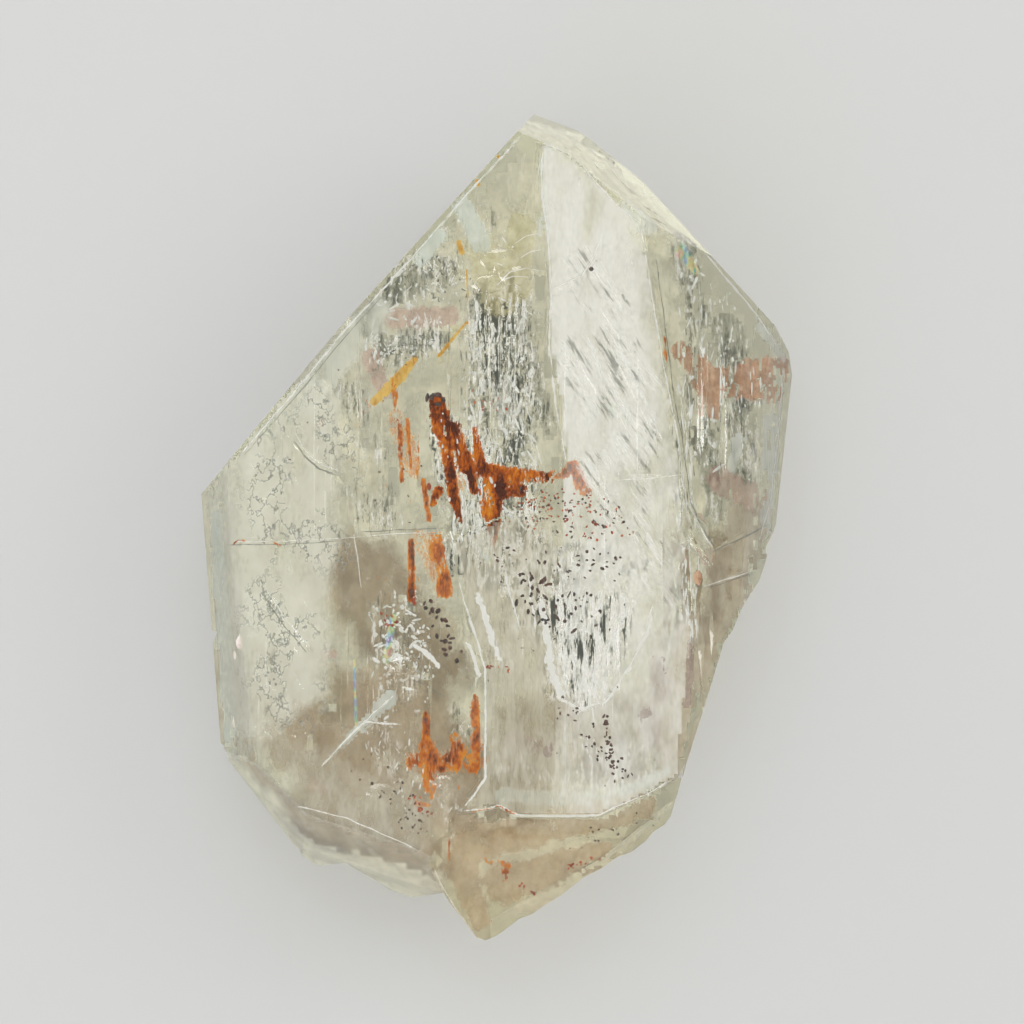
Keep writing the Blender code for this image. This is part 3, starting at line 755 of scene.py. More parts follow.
def rainbow():
    """Thin cracks that split the light."""
    material, shader = new_material("rainbow_crack", Roughness=0.25)
    tree = material.node_tree
    grain = drawn_noise(tree, 2.5, 1.5, 4.0, 2.0, 0.5)
    tree.links.new(ramp(tree, grain, *RAINBOW_STOPS), shader.inputs["Base Color"])
    cover = maths(tree, "MULTIPLY", attribute(tree, "strength"), 0.45, limit=True)
    tree.links.new(cover, shader.inputs["Alpha"])
    return material


def mineral(name, roughness, scale=2.0):
    """A solid grain's finish, between two colours."""
    dark, light = GRAIN_COLOURS[name]
    material, shader = new_material(name, Roughness=roughness)
    tree = material.node_tree
    grain = drawn_noise(tree, scale, scale, 1.0, 3.0, 0.6)
    tree.links.new(ramp(tree, grain, (0.35, dark), (0.65, light)), shader.inputs["Base Color"])
    return material


# Where the films lie, as strokes: (x, y) at one end, (x, y) at the other, and the radius at each

RUST_HEART = (
    (-3.0, 6.3, -2.7, 5.0, 0.46, 0.56), (-2.7, 5.0, -2.4, 2.9, 0.56, 0.31),
    (-2.4, 2.9, -2.1, 1.3, 0.36, 0.31), (-2.0, 4.9, -1.6, 2.9, 0.41, 0.31),
    (-1.5, 3.6, -1.1, 1.8, 0.26, 0.26), (-2.1, 1.3, -1.8, 0.2, 0.26, 0.15),
    (-1.1, 4.9, -0.8, 3.1, 0.20, 0.31), (-0.6, 2.7, 2.5, 2.4, 0.56, 0.41),
    (-0.5, 1.9, 1.3, 1.8, 0.66, 0.41), (-0.3, 1.3, -0.1, -1.0, 0.71, 0.15),
    (-2.9, 1.8, -3.2, 1.1, 0.31, 0.20),
)
RUST_FAINT = (
    (-2.1, 4.4, -1.8, 2.3, 0.71, 0.61), (-5.0, 5.5, -4.3, 3.0, 0.6, 0.7),
    (-3.9, -0.6, -2.9, -2.6, 0.6, 0.5),
)
RUST_PATCH = ((3.8, 2.9, 4.4, 1.9, 0.45, 0.45), (2.9, 2.6, 3.8, 2.7, 0.3, 0.35))
RUST_COLUMNS = (
    (-4.3, -0.7, -4.3, -3.7, 0.20, 0.20), (-3.1, -0.6, -3.1, -1.5, 0.41, 0.36),
    (-2.9, -1.2, -2.6, -3.3, 0.41, 0.41), (-4.9, 5.7, -4.8, 2.3, 0.13, 0.15),
    (-4.5, 5.4, -4.3, 2.9, 0.13, 0.10), (-3.9, 4.9, -4.0, 2.3, 0.13, 0.10),
    (-5.2, 7.4, -5.0, 5.4, 0.20, 0.15), (-3.7, 2.3, -3.4, 0.3, 0.15, 0.15),
    (-9.0, 5.1, -8.8, 5.4, 0.16, 0.14),
)
AMBER_BAND = ((-6.2, 6.3, -4.9, 7.5, 0.26, 0.36), (-4.9, 7.5, -4.1, 8.5, 0.36, 0.20))
AMBER_HEAD = (
    (-1.9, 14.3, -1.75, 13.8, 0.16, 0.18), (-0.95, 17.35, -0.9, 17.2, 0.15, 0.12),
    (0.1, 18.6, 0.15, 18.5, 0.11, 0.1), (-1.5, 12.9, -1.4, 10.6, 0.07, 0.06),
    (-1.4, 10.4, -2.9, 8.6, 0.08, 0.12),
)
RUST_FOOT = (
    (-3.6, -9.5, -3.5, -10.9, 0.18, 0.31), (-3.9, -11.9, -0.9, -11.8, 0.70, 0.55),
    (-3.4, -11.2, -3.5, -12.7, 0.60, 0.5), (-1.1, -8.6, -1.0, -11.2, 0.22, 0.36),
    (-2.1, -10.7, -1.4, -12.2, 0.35, 0.50), (-3.7, -12.4, -3.5, -13.3, 0.3, 0.2),
    (-3.2, -13.2, -3.3, -13.7, 0.20, 0.15), (-4.0, -14.0, -3.4, -14.1, 0.20, 0.15),
    (-0.5, -16.8, 0.5, -17.1, 0.22, 0.28), (0.4, -17.1, 0.4, -17.9, 0.32, 0.18),
)
TAN_PATCHES = (
    (8.9, 8.7, 10.1, 7.9, 0.6, 0.75), (10.2, 7.2, 14.3, 7.1, 0.8, 1.05), (12.4, 7.6, 14.6, 7.9, 0.8, 0.9),
    (10.8, 6.6, 10.9, 5.7, 0.7, 0.5),
)
PINK_PATCHES = (
    (11.1, 2.3, 12.9, 1.3, 0.82, 0.92), (9.9, 0.3, 10.4, -1.7, 0.41, 0.51),
    (-5.2, 10.5, -2.4, 10.6, 0.61, 0.66), (-6.3, 8.5, -5.7, 6.7, 0.61, 0.41),
    (-7.0, -17.5, -4.9, -17.4, 0.46, 0.61), (-9.3, -13.2, -8.7, -13.3, 0.36, 0.36),
    (-8.9, -6.4, -8.3, -6.5, 0.3, 0.3),
)
PURPLE_PATCHES = (
    (8.1, -6.9, 8.2, -8.4, 0.51, 0.61), (7.7, -9.5, 7.9, -10.7, 0.61, 0.46),
    (9.9, -5.8, 9.6, -8.9, 0.31, 0.31), (3.5, -8.9, 3.7, -9.5, 0.36, 0.31),
    (0.8, -10.7, 2.5, -11.2, 0.45, 0.5),
)
OLIVE_FIELD = (
    (-0.8, 14.1, 0.2, 11.5, 1.0, 1.1), (1.2, 15.1, 0.9, 12.0, 0.82, 1.0),
    (-2.1, 10.0, -2.9, 8.2, 0.31, 0.20),
)
BROWN_ZONE = (
    (-8.5, -1.7, -4.9, -1.7, 1.1, 1.2), (-7.5, -3.3, -3.9, -2.8, 1.1, 1.1),
    (-9.5, -2.2, -9.0, -3.8, 0.82, 0.71), (-2.0, -15.0, 1.7, -15.2, 0.61, 0.71),
)
FOOT_TAN = (
    (-1.4, -16.0, 7.3, -14.0, 1.1, 0.92), (-1.9, -17.0, -0.9, -20.0, 1.0, 0.61),
    (0.2, -18.1, 5.3, -16.5, 1.2, 0.82),
)
LOW_SHADE = (
    (-11.5, -9.0, -4.0, -11.5, 3.4, 3.8), (-8.0, -12.5, 0.0, -13.0, 3.2, 3.2),
    (2.0, -10.5, 7.0, -10.8, 2.6, 3.0), (10.5, -2.0, 9.6, -8.0, 2.4, 2.2),
    (-9.0, -14.5, -4.0, -16.5, 2.4, 2.0), (-7.0, -2.5, -3.5, -7.5, 2.8, 2.8),
)
LOW_TINT = (
    (-5.6, -9.0, -2.6, -13.6, 2.6, 2.2), (-10.8, -10.0, -7.0, -13.2, 2.0, 2.2),
    (-8.6, -14.6, -4.4, -16.2, 1.2, 1.2),
)
# Painted darkness: dark veils where the clear stone shows a dark backdrop through it
PAINTED_DARK_WINDOWS = (
    (2.0, 7.2, 2.8, 4.9, 0.55, 0.6), (9.5, 7.0, 10.3, 3.6, 0.85, 0.8), (11.6, 9.8, 12.3, 6.2, 0.9, 0.8),
    (8.8, 13.6, 9.8, 10.4, 0.8, 0.85), (-5.9, 11.8, -2.8, 12.9, 0.9, 0.9),
    (-6.7, 10.4, -5.6, 9.0, 0.65, 0.6), (-4.9, 9.3, -2.6, 9.4, 0.5, 0.5), (0.5, 10.8, 1.9, 7.9, 0.6, 0.6),
    (0.0, 8.0, 1.0, 4.5, 0.8, 0.7), (12.0, 5.2, 12.5, 2.4, 0.6, 0.6), (10.6, 2.8, 10.9, 0.6, 0.6, 0.6),
)
# Pale panels along edges and rims: painted glints
PAINTED_GLINT_PANELS = (
    (13.8, 5.4, 13.7, 0.3, 0.51, 0.61), (13.4, 10.0, 14.5, 8.5, 0.41, 0.31),
    (12.2, 4.4, 11.9, 2.9, 0.41, 0.41), (2.5, 18.9, 2.5, 14.6, 0.41, 0.41),
    (0.9, 20.3, 2.7, 20.2, 0.41, 0.41), (2.7, 20.1, 6.3, 17.6, 0.46, 0.82),
    (6.3, 17.6, 7.3, 15.1, 0.71, 0.71),
)
BLUE_PANELS = (
    (0.2, -13.5, 5.3, -13.8, 0.46, 0.46), (5.3, -13.8, 8.6, -12.3, 0.46, 0.31),
    (-1.9, 16.4, -0.8, 14.3, 0.61, 0.71), (-2.9, 14.6, -3.9, 13.5, 0.51, 0.51),
    (-14.2, 0.5, -13.6, -10.5, 0.4, 0.7), (-9.0, -12.3, -5.4, -8.7, 0.15, 0.5),
)
HEART = (
    (0.2, 11.0, 0.2, -1.7, 2.0, 2.0), (-2.4, 4.9, -1.4, -1.7, 1.1, 1.3), (1.2, -1.7, 3.5, -5.0, 1.7, 2.0),
)
FLAKE_FIELD = (
    (0.4, -1.8, 6.4, -2.0, 1.6, 1.6), (1.6, -3.0, 3.8, -7.5, 1.8, 1.8), (5.6, -3.0, 5.4, -7.0, 1.6, 1.3),
)
SLAB_HEAD = ((3.2, 17.4, 4.2, 3.5, 1.2, 1.9), (5.6, 14.0, 6.6, 4.0, 1.5, 1.5))
FACE_HAZE = (
    (-12.0, 2.6, -12.0, -8.6, 2.6, 2.6), (-9.6, 5.4, -9.4, -1.0, 2.2, 1.8),
    (-9.6, -2.0, -9.8, -8.0, 1.6, 1.4),
)
SLAB_RIGHT = (
    (4.2, 13.0, 8.2, 6.0, 1.2, 1.6), (4.6, 8.5, 8.0, 2.5, 1.8, 1.8), (5.0, 3.0, 8.6, -3.0, 1.2, 1.2),
)
SURROUNDINGS = (
    (-4.9, -4.3, -4.9, -8.9, 1.9, 1.9), (-7.6, 6.0, -6.0, 0.3, 1.6, 1.6),
    (-5.9, -10.9, -2.9, -14.5, 1.7, 1.7), (0.2, -11.9, 7.3, -12.0, 1.7, 1.8),
    (0.2, -5.8, -1.4, -9.9, 1.5, 1.3), (-4.6, 12.9, -1.0, 15.5, 1.6, 1.4),
    (-5.5, 8.6, -3.2, 9.8, 1.4, 1.4), (9.2, 14.0, 12.0, 4.0, 1.0, 1.9), (8.5, -2.0, 8.6, -10.0, 1.0, 1.0),
)
FOOT_HAZE = ((-12.0, -12.0, -5.0, -15.5, 2.4, 2.4), (-9.0, -16.0, -4.0, -17.5, 1.8, 1.5))
WHOLE_BODY = (
    (-6.0, 5.0, -6.0, -9.0, 9.5, 8.5), (1.0, 14.0, 3.0, -12.0, 8.0, 7.5), (7.0, 5.0, 7.0, -6.0, 8.0, 6.0),
    (-4.0, -13.0, 7.0, -13.5, 6.0, 6.0), (-11.5, 2.0, -11.5, -9.0, 6.0, 6.0),
)
RIGHT_RIM = ((12.9, -0.4, 9.7, -8.6, 2.0, 1.6), (9.4, -8.8, 8.8, -12.6, 1.2, 0.8))
LEFT_RIM = ((-13.6, 1.0, -13.2, -10.5, 1.6, 1.6), (-13.4, 2.6, -6.0, 10.8, 1.0, 1.0))
LEFT_FACE = ((-10.8, 3.4, -10.6, -8.6, 2.6, 2.6), (-8.6, 5.6, -7.6, -1.0, 1.9, 1.5))
SLAB_TOP = ((4.0, 18.0, 6.5, -12.0, 5.0, 5.0),)
LOWER_SLAB_TOP = ((0.0, -2.0, 1.0, -13.0, 4.0, 4.0),)
FAN_STROKES = ((3.2, -4.2, 4.6, -8.4, 0.8, 1.0), (5.6, -4.4, 5.2, -8.2, 1.4, 0.9))
RAINBOW_STROKES = (
    (-3.7, -9.6, -3.5, -9.9, 0.16, 0.16), (-5.2, -4.6, -5.6, -6.8, 0.22, 0.22),
    (-7.2, -6.8, -7.1, -10.2, 0.10, 0.10), (-0.6, -1.4, -0.4, -1.7, 0.22, 0.18),
    (5.8, 5.9, 5.9, 5.6, 0.25, 0.2), (9.2, 13.8, 10.0, 12.8, 0.45, 0.25),
    (-1.3, 2.6, -0.9, 1.9, 0.22, 0.2),
)

# Lines along edges, steps and cracks: the width, and then the path. Light ones are painted highlights
# along edges, steps and ripples, and light cracks.
PAINTED_HIGHLIGHT_AND_CRACK_LINES = (
    (0.13, ((2.85, 19.3), (2.4, 19.0), (2.25, 18.3), (2.3, 16.6), (2.6, 14.6), (2.75, 11.5), (2.65, 9.0),
            (2.95, 6.4), (3.3, 4.4), (3.5, 3.3))),
    (0.08, ((3.2, 19.2), (3.7, 18.8), (4.8, 17.5), (6.0, 16.1), (7.2, 15.2))),
    (0.14, ((-2.3, -0.8), (-1.9, -2.8), (-1.3, -4.8), (-0.8, -6.3), (-0.55, -7.2), (-0.55, -9.0),
            (-0.55, -12.7), (-1.2, -13.6), (-1.8, -14.3))),
    (0.14, ((-1.8, -14.35), (-0.4, -14.2), (0.1, -14.0), (1.0, -14.5), (3.2, -14.55), (5.1, -14.5),
            (6.2, -14.0), (7.6, -13.4), (9.0, -12.6))),
    (0.07, ((7.2, 15.4), (7.8, 11.5), (8.3, 8.5), (8.7, 6.4), (9.1, 4.4), (9.5, 1.3), (9.7, -1.7),
            (9.8, -4.3))),
    (0.05, ((-13.6, -0.8), (-11.0, -0.8), (-7.8, -0.6), (-5.4, -0.4), (-3.0, -0.3))),
    (0.12, ((-13.2, 3.4), (-10.4, 6.6), (-7.4, 10.2), (-4.3, 13.5), (-1.3, 16.9), (1.5, 19.9))),
    (0.12, ((3.5, 20.1), (4.8, 19.4), (6.0, 18.4), (7.5, 17.2), (9.3, 15.2), (11.2, 13.0), (13.2, 10.7),
            (14.4, 8.9))),
    (0.09, ((14.6, 8.2), (14.4, 5.4), (13.9, 1.3), (13.3, -0.7))),
    (0.07, ((-0.1, 19.0), (0.6, 19.5), (1.2, 19.8), (1.8, 19.8), (2.5, 19.6), (3.2, 19.1), (4.3, 18.2),
            (5.5, 17.0))),
    (0.08, ((2.9, 11.9), (3.5, 12.2), (4.3, 12.6), (4.9, 13.5), (5.3, 14.5))),
    (0.06, ((-7.2, -0.4), (-7.0, -1.9), (-6.8, -3.2))),
    (0.05, ((6.0, 2.3), (7.8, 2.4), (9.3, 2.6))),
    (0.12, ((-8.9, -12.2), (-7.5, -10.7), (-6.2, -9.4), (-5.2, -8.6))),
    (0.14, ((-6.7, -9.9), (-4.8, -10.0))),
    (0.12, ((-3.2, -17.2), (-2.8, -18.1), (-2.3, -19.0), (-1.8, -19.8), (-1.2, -20.6))),
    (0.08, ((9.5, 1.3), (10.2, 0.1), (10.9, -1.2))),
    (0.07, ((10.4, -3.0), (11.9, -2.6), (13.0, -2.2))),
    (0.06, ((0.0, 12.1), (0.7, 12.8), (1.5, 13.0), (2.3, 12.8))),
    (0.05, ((0.4, 12.4), (0.9, 12.6), (1.7, 12.5))),
    (0.05, ((1.2, 13.5), (1.7, 13.8), (2.3, 13.9))),
    (0.05, ((0.9, 14.2), (1.5, 14.6), (2.2, 14.7))),
    (0.06, ((-10.2, 4.7), (-9.7, 3.8), (-8.9, 3.1), (-7.8, 2.7))),
    (0.06, ((-11.7, -3.2), (-10.7, -4.7), (-9.4, -6.2))),
    (0.08, ((-12.6, -13.8), (-10.0, -14.2), (-7.5, -14.8), (-3.6, -16.5))),
)
# Dark ones are painted shade along edges and steps, and dark cracks.
PAINTED_SHADE_AND_CRACK_LINES = (
    (0.07, ((-7.0, -0.3), (-4.9, -0.2), (-2.9, -0.1))),
    (0.06, ((-13.7, -0.95), (-11.0, -0.95), (-7.8, -0.75))),
    (0.07, ((7.9, 13.8), (8.2, 12.0), (8.45, 10.0), (8.9, 6.4), (9.3, 4.4), (9.75, 1.0))),
    (0.08, ((9.7, 1.2), (10.35, 0.0), (11.0, -1.2))),
    (0.08, ((10.7, -1.4), (12.4, -0.6), (13.8, 0.1))),
    (0.05, ((10.5, -3.1), (12.0, -2.7), (13.1, -2.3))),
    (0.10, ((-10.4, 4.5), (-9.8, 3.6), (-9.0, 2.9), (-7.9, 2.5))),
    (0.07, ((-11.9, -3.4), (-10.9, -4.9), (-9.6, -6.4))),
    (0.07, ((3.4, -17.8), (4.8, -17.0), (6.0, -16.2), (7.3, -15.1), (8.5, -14.1))),
    (0.05, ((7.6, 17.0), (8.4, 16.6), (9.0, 15.8))),
    (0.05, ((7.9, 16.1), (8.6, 15.7), (9.2, 15.1))),
    (0.06, ((-12.9, 3.5), (-10.2, 6.5), (-7.2, 10.1), (-4.1, 13.4))),
    (0.06, ((-4.4, -7.7), (-3.6, -8.0), (-2.6, -8.6))),
)
BLADES = (
    (0.16, ((3.0, -3.2), (3.1, -5.0), (3.4, -7.4), (3.7, -8.9))),
    (0.14, ((3.7, -3.4), (3.8, -5.6), (4.0, -8.4))),
    (0.16, ((4.4, -3.0), (4.4, -5.4), (4.4, -8.8))),
    (0.14, ((5.2, -3.2), (5.1, -5.6), (4.8, -8.2))),
    (0.12, ((6.0, -3.4), (5.9, -5.2), (5.3, -7.4))),
    (0.20, ((3.2, -8.7), (4.2, -9.1), (5.2, -8.9))),
    (0.14, ((0.5, -2.2), (0.7, -3.6), (1.2, -5.2))),
    (0.12, ((1.6, -2.4), (1.8, -3.8), (2.0, -5.4))),
    (0.50, ((2.2, -3.5), (2.4, -5.0), (2.6, -6.3), (2.9, -7.6), (3.3, -8.8))),
    (0.20, ((7.8, -4.0), (7.6, -5.3), (6.9, -6.6), (6.2, -7.9), (5.3, -9.0))),
    (0.42, ((-0.9, -3.3), (-0.6, -4.5), (-0.2, -5.8), (0.2, -6.8))),
    (0.25, ((-1.5, -5.8), (-1.1, -6.8), (-0.8, -7.6))),
    (0.30, ((-4.2, -5.9), (-3.6, -6.3), (-2.9, -7.2))),
    (0.22, ((4.6, 9.5), (5.4, 7.4), (6.6, 5.2))),
    (0.18, ((6.4, 8.6), (7.4, 6.4), (8.3, 4.3))),
)
RUST_LINES = (
    (0.14, ((8.4, 9.6), (8.5, 8.2))),
    (0.13, ((-1.3, -14.4), (-0.4, -14.25), (0.1, -14.05), (0.6, -14.3), (1.1, -14.5))),
    (0.12, ((-13.4, -1.0), (-13.1, -0.7), (-12.7, -0.8))),
    (0.14, ((-11.4, -0.8), (-10.9, -1.0))),
    (0.10, ((-2.4, -15.7), (-2.4, -17.2))),
)

# Small grains: a stroke's two ends, the radius, the number, the least and greatest length, the width, and
# the angle and its spread
# White flakes in the stone, their white painted as glints
PAINTED_GLINT_FLAKES = (
    (0.2, 11.0, 0.2, -1.7, 2.1, 200, 0.15, 1.1, 0.08, 0, 14),
    (-2.0, 5.5, -1.0, -1.7, 1.2, 110, 0.25, 1.4, 0.09, 2, 9),
    (4.2, 9.5, 7.3, 2.8, 1.7, 110, 0.25, 1.3, 0.06, 33, 12),
    (1.2, -1.7, 7.0, -2.0, 1.6, 150, 0.15, 0.7, 0.09, 0, 30),
    (-4.9, -4.3, -4.6, -9.0, 1.6, 130, 0.10, 0.45, 0.11, 30, 60),
    (3.5, -5.0, 4.6, -8.6, 1.1, 110, 0.3, 1.6, 0.10, 0, 9),
    (0.5, -11.5, 7.3, -12.3, 1.5, 90, 0.15, 0.6, 0.07, 0, 12),
    (-5.8, -10.5, -3.0, -14.6, 1.6, 80, 0.1, 0.4, 0.07, 0, 25),
    (9.3, 6.5, 9.7, -6.0, 0.4, 70, 0.3, 1.5, 0.07, 0, 5),
    (-4.4, 12.9, -2.2, 12.4, 1.3, 70, 0.1, 0.4, 0.08, 10, 40),
    (-6.3, 9.6, -5.3, 8.4, 0.7, 40, 0.1, 0.5, 0.10, 0, 30),
    (11.0, 11.0, 12.5, 5.0, 1.5, 70, 0.15, 0.9, 0.09, 0, 12),
    (0.0, 10.5, 0.4, 3.0, 1.8, 34, 0.2, 1.2, 0.17, 5, 40),
    (-1.8, 5.0, 0.5, -2.0, 1.6, 34, 0.2, 1.2, 0.17, 5, 40),
    (2.6, -3.0, 5.0, -7.5, 1.6, 90, 0.2, 1.2, 0.17, 5, 40),
    (-4.8, -4.8, -5.2, -8.6, 1.3, 34, 0.2, 0.7, 0.18, 30, 60),
    (9.5, 13.5, 10.2, 3.0, 1.0, 50, 0.2, 1.0, 0.15, 0, 30),
    (-5.5, 12.4, -3.0, 9.2, 1.3, 40, 0.15, 0.7, 0.14, 10, 60),
    (-1.0, 15.5, 1.5, 9.0, 1.3, 60, 0.1, 0.5, 0.06, 60, 40),
    (-10.9, 3.6, -10.6, 2.7, 0.5, 14, 0.2, 0.5, 0.16, 0, 25),
)
# Dark flakes in the stone, their darkness painted as dark reflections among the glints
PAINTED_DARK_REFLECTION_FLAKES = (
    (0.2, 10.0, 0.2, -1.7, 2.0, 130, 0.15, 0.8, 0.06, 0, 10),
    (5.0, 8.5, 7.3, 2.8, 1.6, 80, 0.15, 0.7, 0.06, 28, 12),
    (-4.4, 12.9, -2.2, 12.4, 1.3, 80, 0.1, 0.4, 0.07, 10, 40),
    (9.2, 7.0, 9.8, -6.0, 0.5, 40, 0.2, 0.9, 0.05, 0, 6),
    (-4.9, -4.3, -4.6, -9.0, 1.7, 50, 0.1, 0.3, 0.06, 20, 60),
    (1.2, -2.0, 6.0, -2.6, 1.4, 60, 0.1, 0.4, 0.07, 0, 30),
    (-5.5, 9.0, -3.2, 9.2, 0.7, 50, 0.1, 0.4, 0.07, 80, 30),
    (8.6, 16.0, 7.6, 14.8, 0.5, 22, 0.1, 0.3, 0.06, 40, 30),
)
DARK_SPECKS = (
    (1.0, 1.0, 6.0, 0.2, 1.2, 60, 0.06, 0.15, 0.08, 0, 60),
    (0.5, -1.6, 6.0, -2.0, 0.9, 40, 0.06, 0.2, 0.09, 0, 60),
    (1.2, -3.4, 4.6, -4.6, 1.3, 60, 0.1, 0.35, 0.10, 0, 40),
    (-3.4, -3.9, -1.9, -6.8, 0.5, 26, 0.09, 0.30, 0.14, 0, 60),
    (3.3, -8.9, 6.6, -12.6, 0.7, 46, 0.07, 0.15, 0.08, 0, 60),
    (5.5, -9.5, 5.8, -12.2, 0.14, 26, 0.08, 0.18, 0.09, 0, 60),
    (-6.6, -12.2, -3.4, -15.4, 0.9, 40, 0.06, 0.14, 0.08, 0, 60),
    (5.2, 19.0, 6.3, 18.1, 0.07, 9, 0.08, 0.15, 0.09, 0, 60),
    (4.75, 12.9, 4.76, 12.9, 0.01, 1, 0.17, 0.18, 0.16, 0, 10),
    (-12.0, 10.0, 9.0, -12.0, 5.0, 60, 0.05, 0.12, 0.06, 0, 60),
    (3.8, -15.9, 8.0, -14.6, 0.5, 14, 0.06, 0.14, 0.07, 0, 60),
    (-3.3, 6.6, -2.8, 6.2, 0.3, 9, 0.15, 0.4, 0.16, 10, 30),
)
RED_SPECKS = (
    (1.0, 1.2, 6.0, 0.2, 1.2, 110, 0.05, 0.14, 0.08, 0, 60),
    (3.5, -17.2, 5.4, -16.6, 0.15, 16, 0.07, 0.16, 0.08, 0, 60),
    (-5.7, -4.3, -5.2, -5.0, 0.3, 9, 0.08, 0.18, 0.10, 0, 60),
    (-0.6, -6.9, 0.8, -7.3, 0.2, 10, 0.08, 0.16, 0.08, 0, 60),
    (-3.4, 2.0, -3.39, 2.0, 0.01, 1, 0.30, 0.31, 0.26, 0, 10),
    (-4.2, -3.6, -4.1, -3.9, 0.12, 7, 0.10, 0.20, 0.10, 0, 60),
    (-4.2, -13.6, -3.4, -14.6, 0.3, 12, 0.08, 0.18, 0.10, 0, 60),
    (1.2, -18.1, 2.2, -18.8, 0.1, 6, 0.08, 0.2, 0.08, 0, 60),
    (-1.2, 6.5, 0.3, 6.0, 0.5, 12, 0.06, 0.16, 0.08, 0, 40),
)
IRON_BEAD = ((10.07, -2.62, 10.08, -2.62, 0.01, 1, 0.9, 0.92, 0.6, 5, 1),)
CHIP_SCARS = (
    (-13.0, -5.9, -12.95, -5.8, 0.05, 2, 0.8, 0.95, 0.5, -12, 4),
    (-13.3, -6.5, -13.3, -6.6, 0.04, 2, 0.5, 0.6, 0.25, 0, 5),
    (-13.4, -9.9, -13.4, -10.0, 0.05, 2, 0.6, 0.7, 0.2, 0, 5),
)


# The pieces inside, each film with its own finish

def make_veils():
    """The hazy body, and veils of fine fibres from its depth up to the slab."""
    haze = stain("body_haze", 0.72, across=0.7, along=0.35, sharpness=1.2)
    deep = veil("deep_veil", 0.8, 1.5, 0.25, contrast=11.0, gate=0.1, light=0.15, shift=5.0)
    near = veil("near_veil", 1.0, 3.6, 0.4, contrast=14.0, gate=0.35, light=0.1)
    fine = veil("fine_veil", 0.65, 4.5, 0.7, contrast=11.0, gate=0.6, light=0.45, shift=9.0)
    streaks = veil("slab_streaks", 0.6, 4.0, 0.3, contrast=9.0, gate=0.4, light=0.9, shift=2.0, turn=33.0)
    flakes = veil("flake_field", 0.95, 3.2, 1.3, contrast=15.0, gate=0.5, light=0.9, shift=7.0)
    film("body_haze", WHOLE_BODY, 6.0, haze, step=0.5, cut=0.05, crumple=1.2, within=WHOLE_FRONT, seed=1)
    film("deep_veil", HEART, 3.2, deep, step=0.3, crumple=1.0, clump=1.0, seed=2)
    film("near_veil", HEART, 1.5, near, step=0.25, crumple=0.6, clump=1.6, seed=3)
    film("fine_veil", SURROUNDINGS, 1.1, fine, step=0.3, crumple=0.3, clump=1.6, seed=4)
    film("slab_streaks", SLAB_RIGHT, 0.18, streaks, step=0.3, crumple=0.0, clump=1.6, within=SLAB_EDGE,
         seed=19)
    film("flake_field", FLAKE_FIELD, 0.5, flakes, step=0.25, crumple=0.2, clump=1.0, seed=20)


def make_haze():
    """Pale haze under the slabs and the left face, and tints along the rims and at the foot."""
    head = stain("slab_head", 0.8, across=0.8, along=0.35, sharpness=1.6, shift=3.0)
    slab = stain("slab_haze", 0.68, across=0.8, along=0.35, sharpness=1.2)
    lower = stain("lower_slab_haze", 0.62, across=1.8, along=0.4, sharpness=1.4, shift=2.0)
    face = stain("face_haze", 0.8, across=0.7, along=0.35, sharpness=1.6, shift=4.0)
    right = stain("right_rim", 0.72, across=1.2, along=0.6, sharpness=2.0)
    left = stain("left_rim", 0.6, across=1.0, along=0.4, sharpness=1.6)
    foot = stain("foot_haze", 0.55, across=0.9, along=0.4, sharpness=1.2)
    film("slab_head", SLAB_HEAD, 0.4, head, step=0.3, crumple=0.1, ragged=0.1, within=SLAB_EDGE, seed=46)
    film("slab_haze", SLAB_TOP, 0.3, slab, crumple=0.0, ragged=0.0, within=SLAB_EDGE, seed=5)
    film("lower_slab_haze", LOWER_SLAB_TOP, 0.3, lower, crumple=0.0, ragged=0.0, within=LOWER_SLAB_EDGE,
         seed=6)
    film("face_haze", FACE_HAZE, 0.25, face, step=0.25, crumple=0.0, ragged=0.0, seed=45)
    film("right_rim", RIGHT_RIM, 1.2, right, step=0.25, seed=47)
    film("left_rim", LEFT_RIM, 1.0, left, step=0.25, seed=48)
    film("foot_haze", FOOT_HAZE, 0.25, foot, step=0.25, crumple=0.0, ragged=0.0, seed=40)


def make_windows():
    """The etched lines with painted shading, the fan of fibres, pale panels of painted glints, blue-green
    panels, and dark windows painted where the clear stone shows a dark backdrop.
    """
    fan = veil("fan_veil", 1.0, 4.0, 0.45, gate=0.3, light=0.9, shift=4.0)
    # Pale panels of painted glints
    pale = stain("painted_glint_panels", 0.5, across=3.0, along=0.3)
    blue = stain("blue_panels", 0.5, across=2.0, along=0.5)
    # Dark veils painted where the clear stone shows a dark backdrop through it
    dark = veil("painted_dark_windows", 0.8, 2.6, 0.6, contrast=6.0, gate=-0.35, light=0.0, shift=6.0)
    film("etched_lines_painted_shading", LEFT_FACE, 0.1, etching(), step=0.4, crumple=0.0, ragged=0.0, seed=7)
    film("fan_veil", FAN_STROKES, 0.25, fan, step=0.15, crumple=0.1, clump=0.8, seed=8)
    film("painted_glint_panels", PAINTED_GLINT_PANELS, 0.8, pale, crumple=0.1, seed=9)
    film("blue_panels", BLUE_PANELS, 0.5, blue, crumple=0.1, seed=10)
    film("painted_dark_windows", PAINTED_DARK_WINDOWS, 2.4, dark, clump=1.2, seed=11)


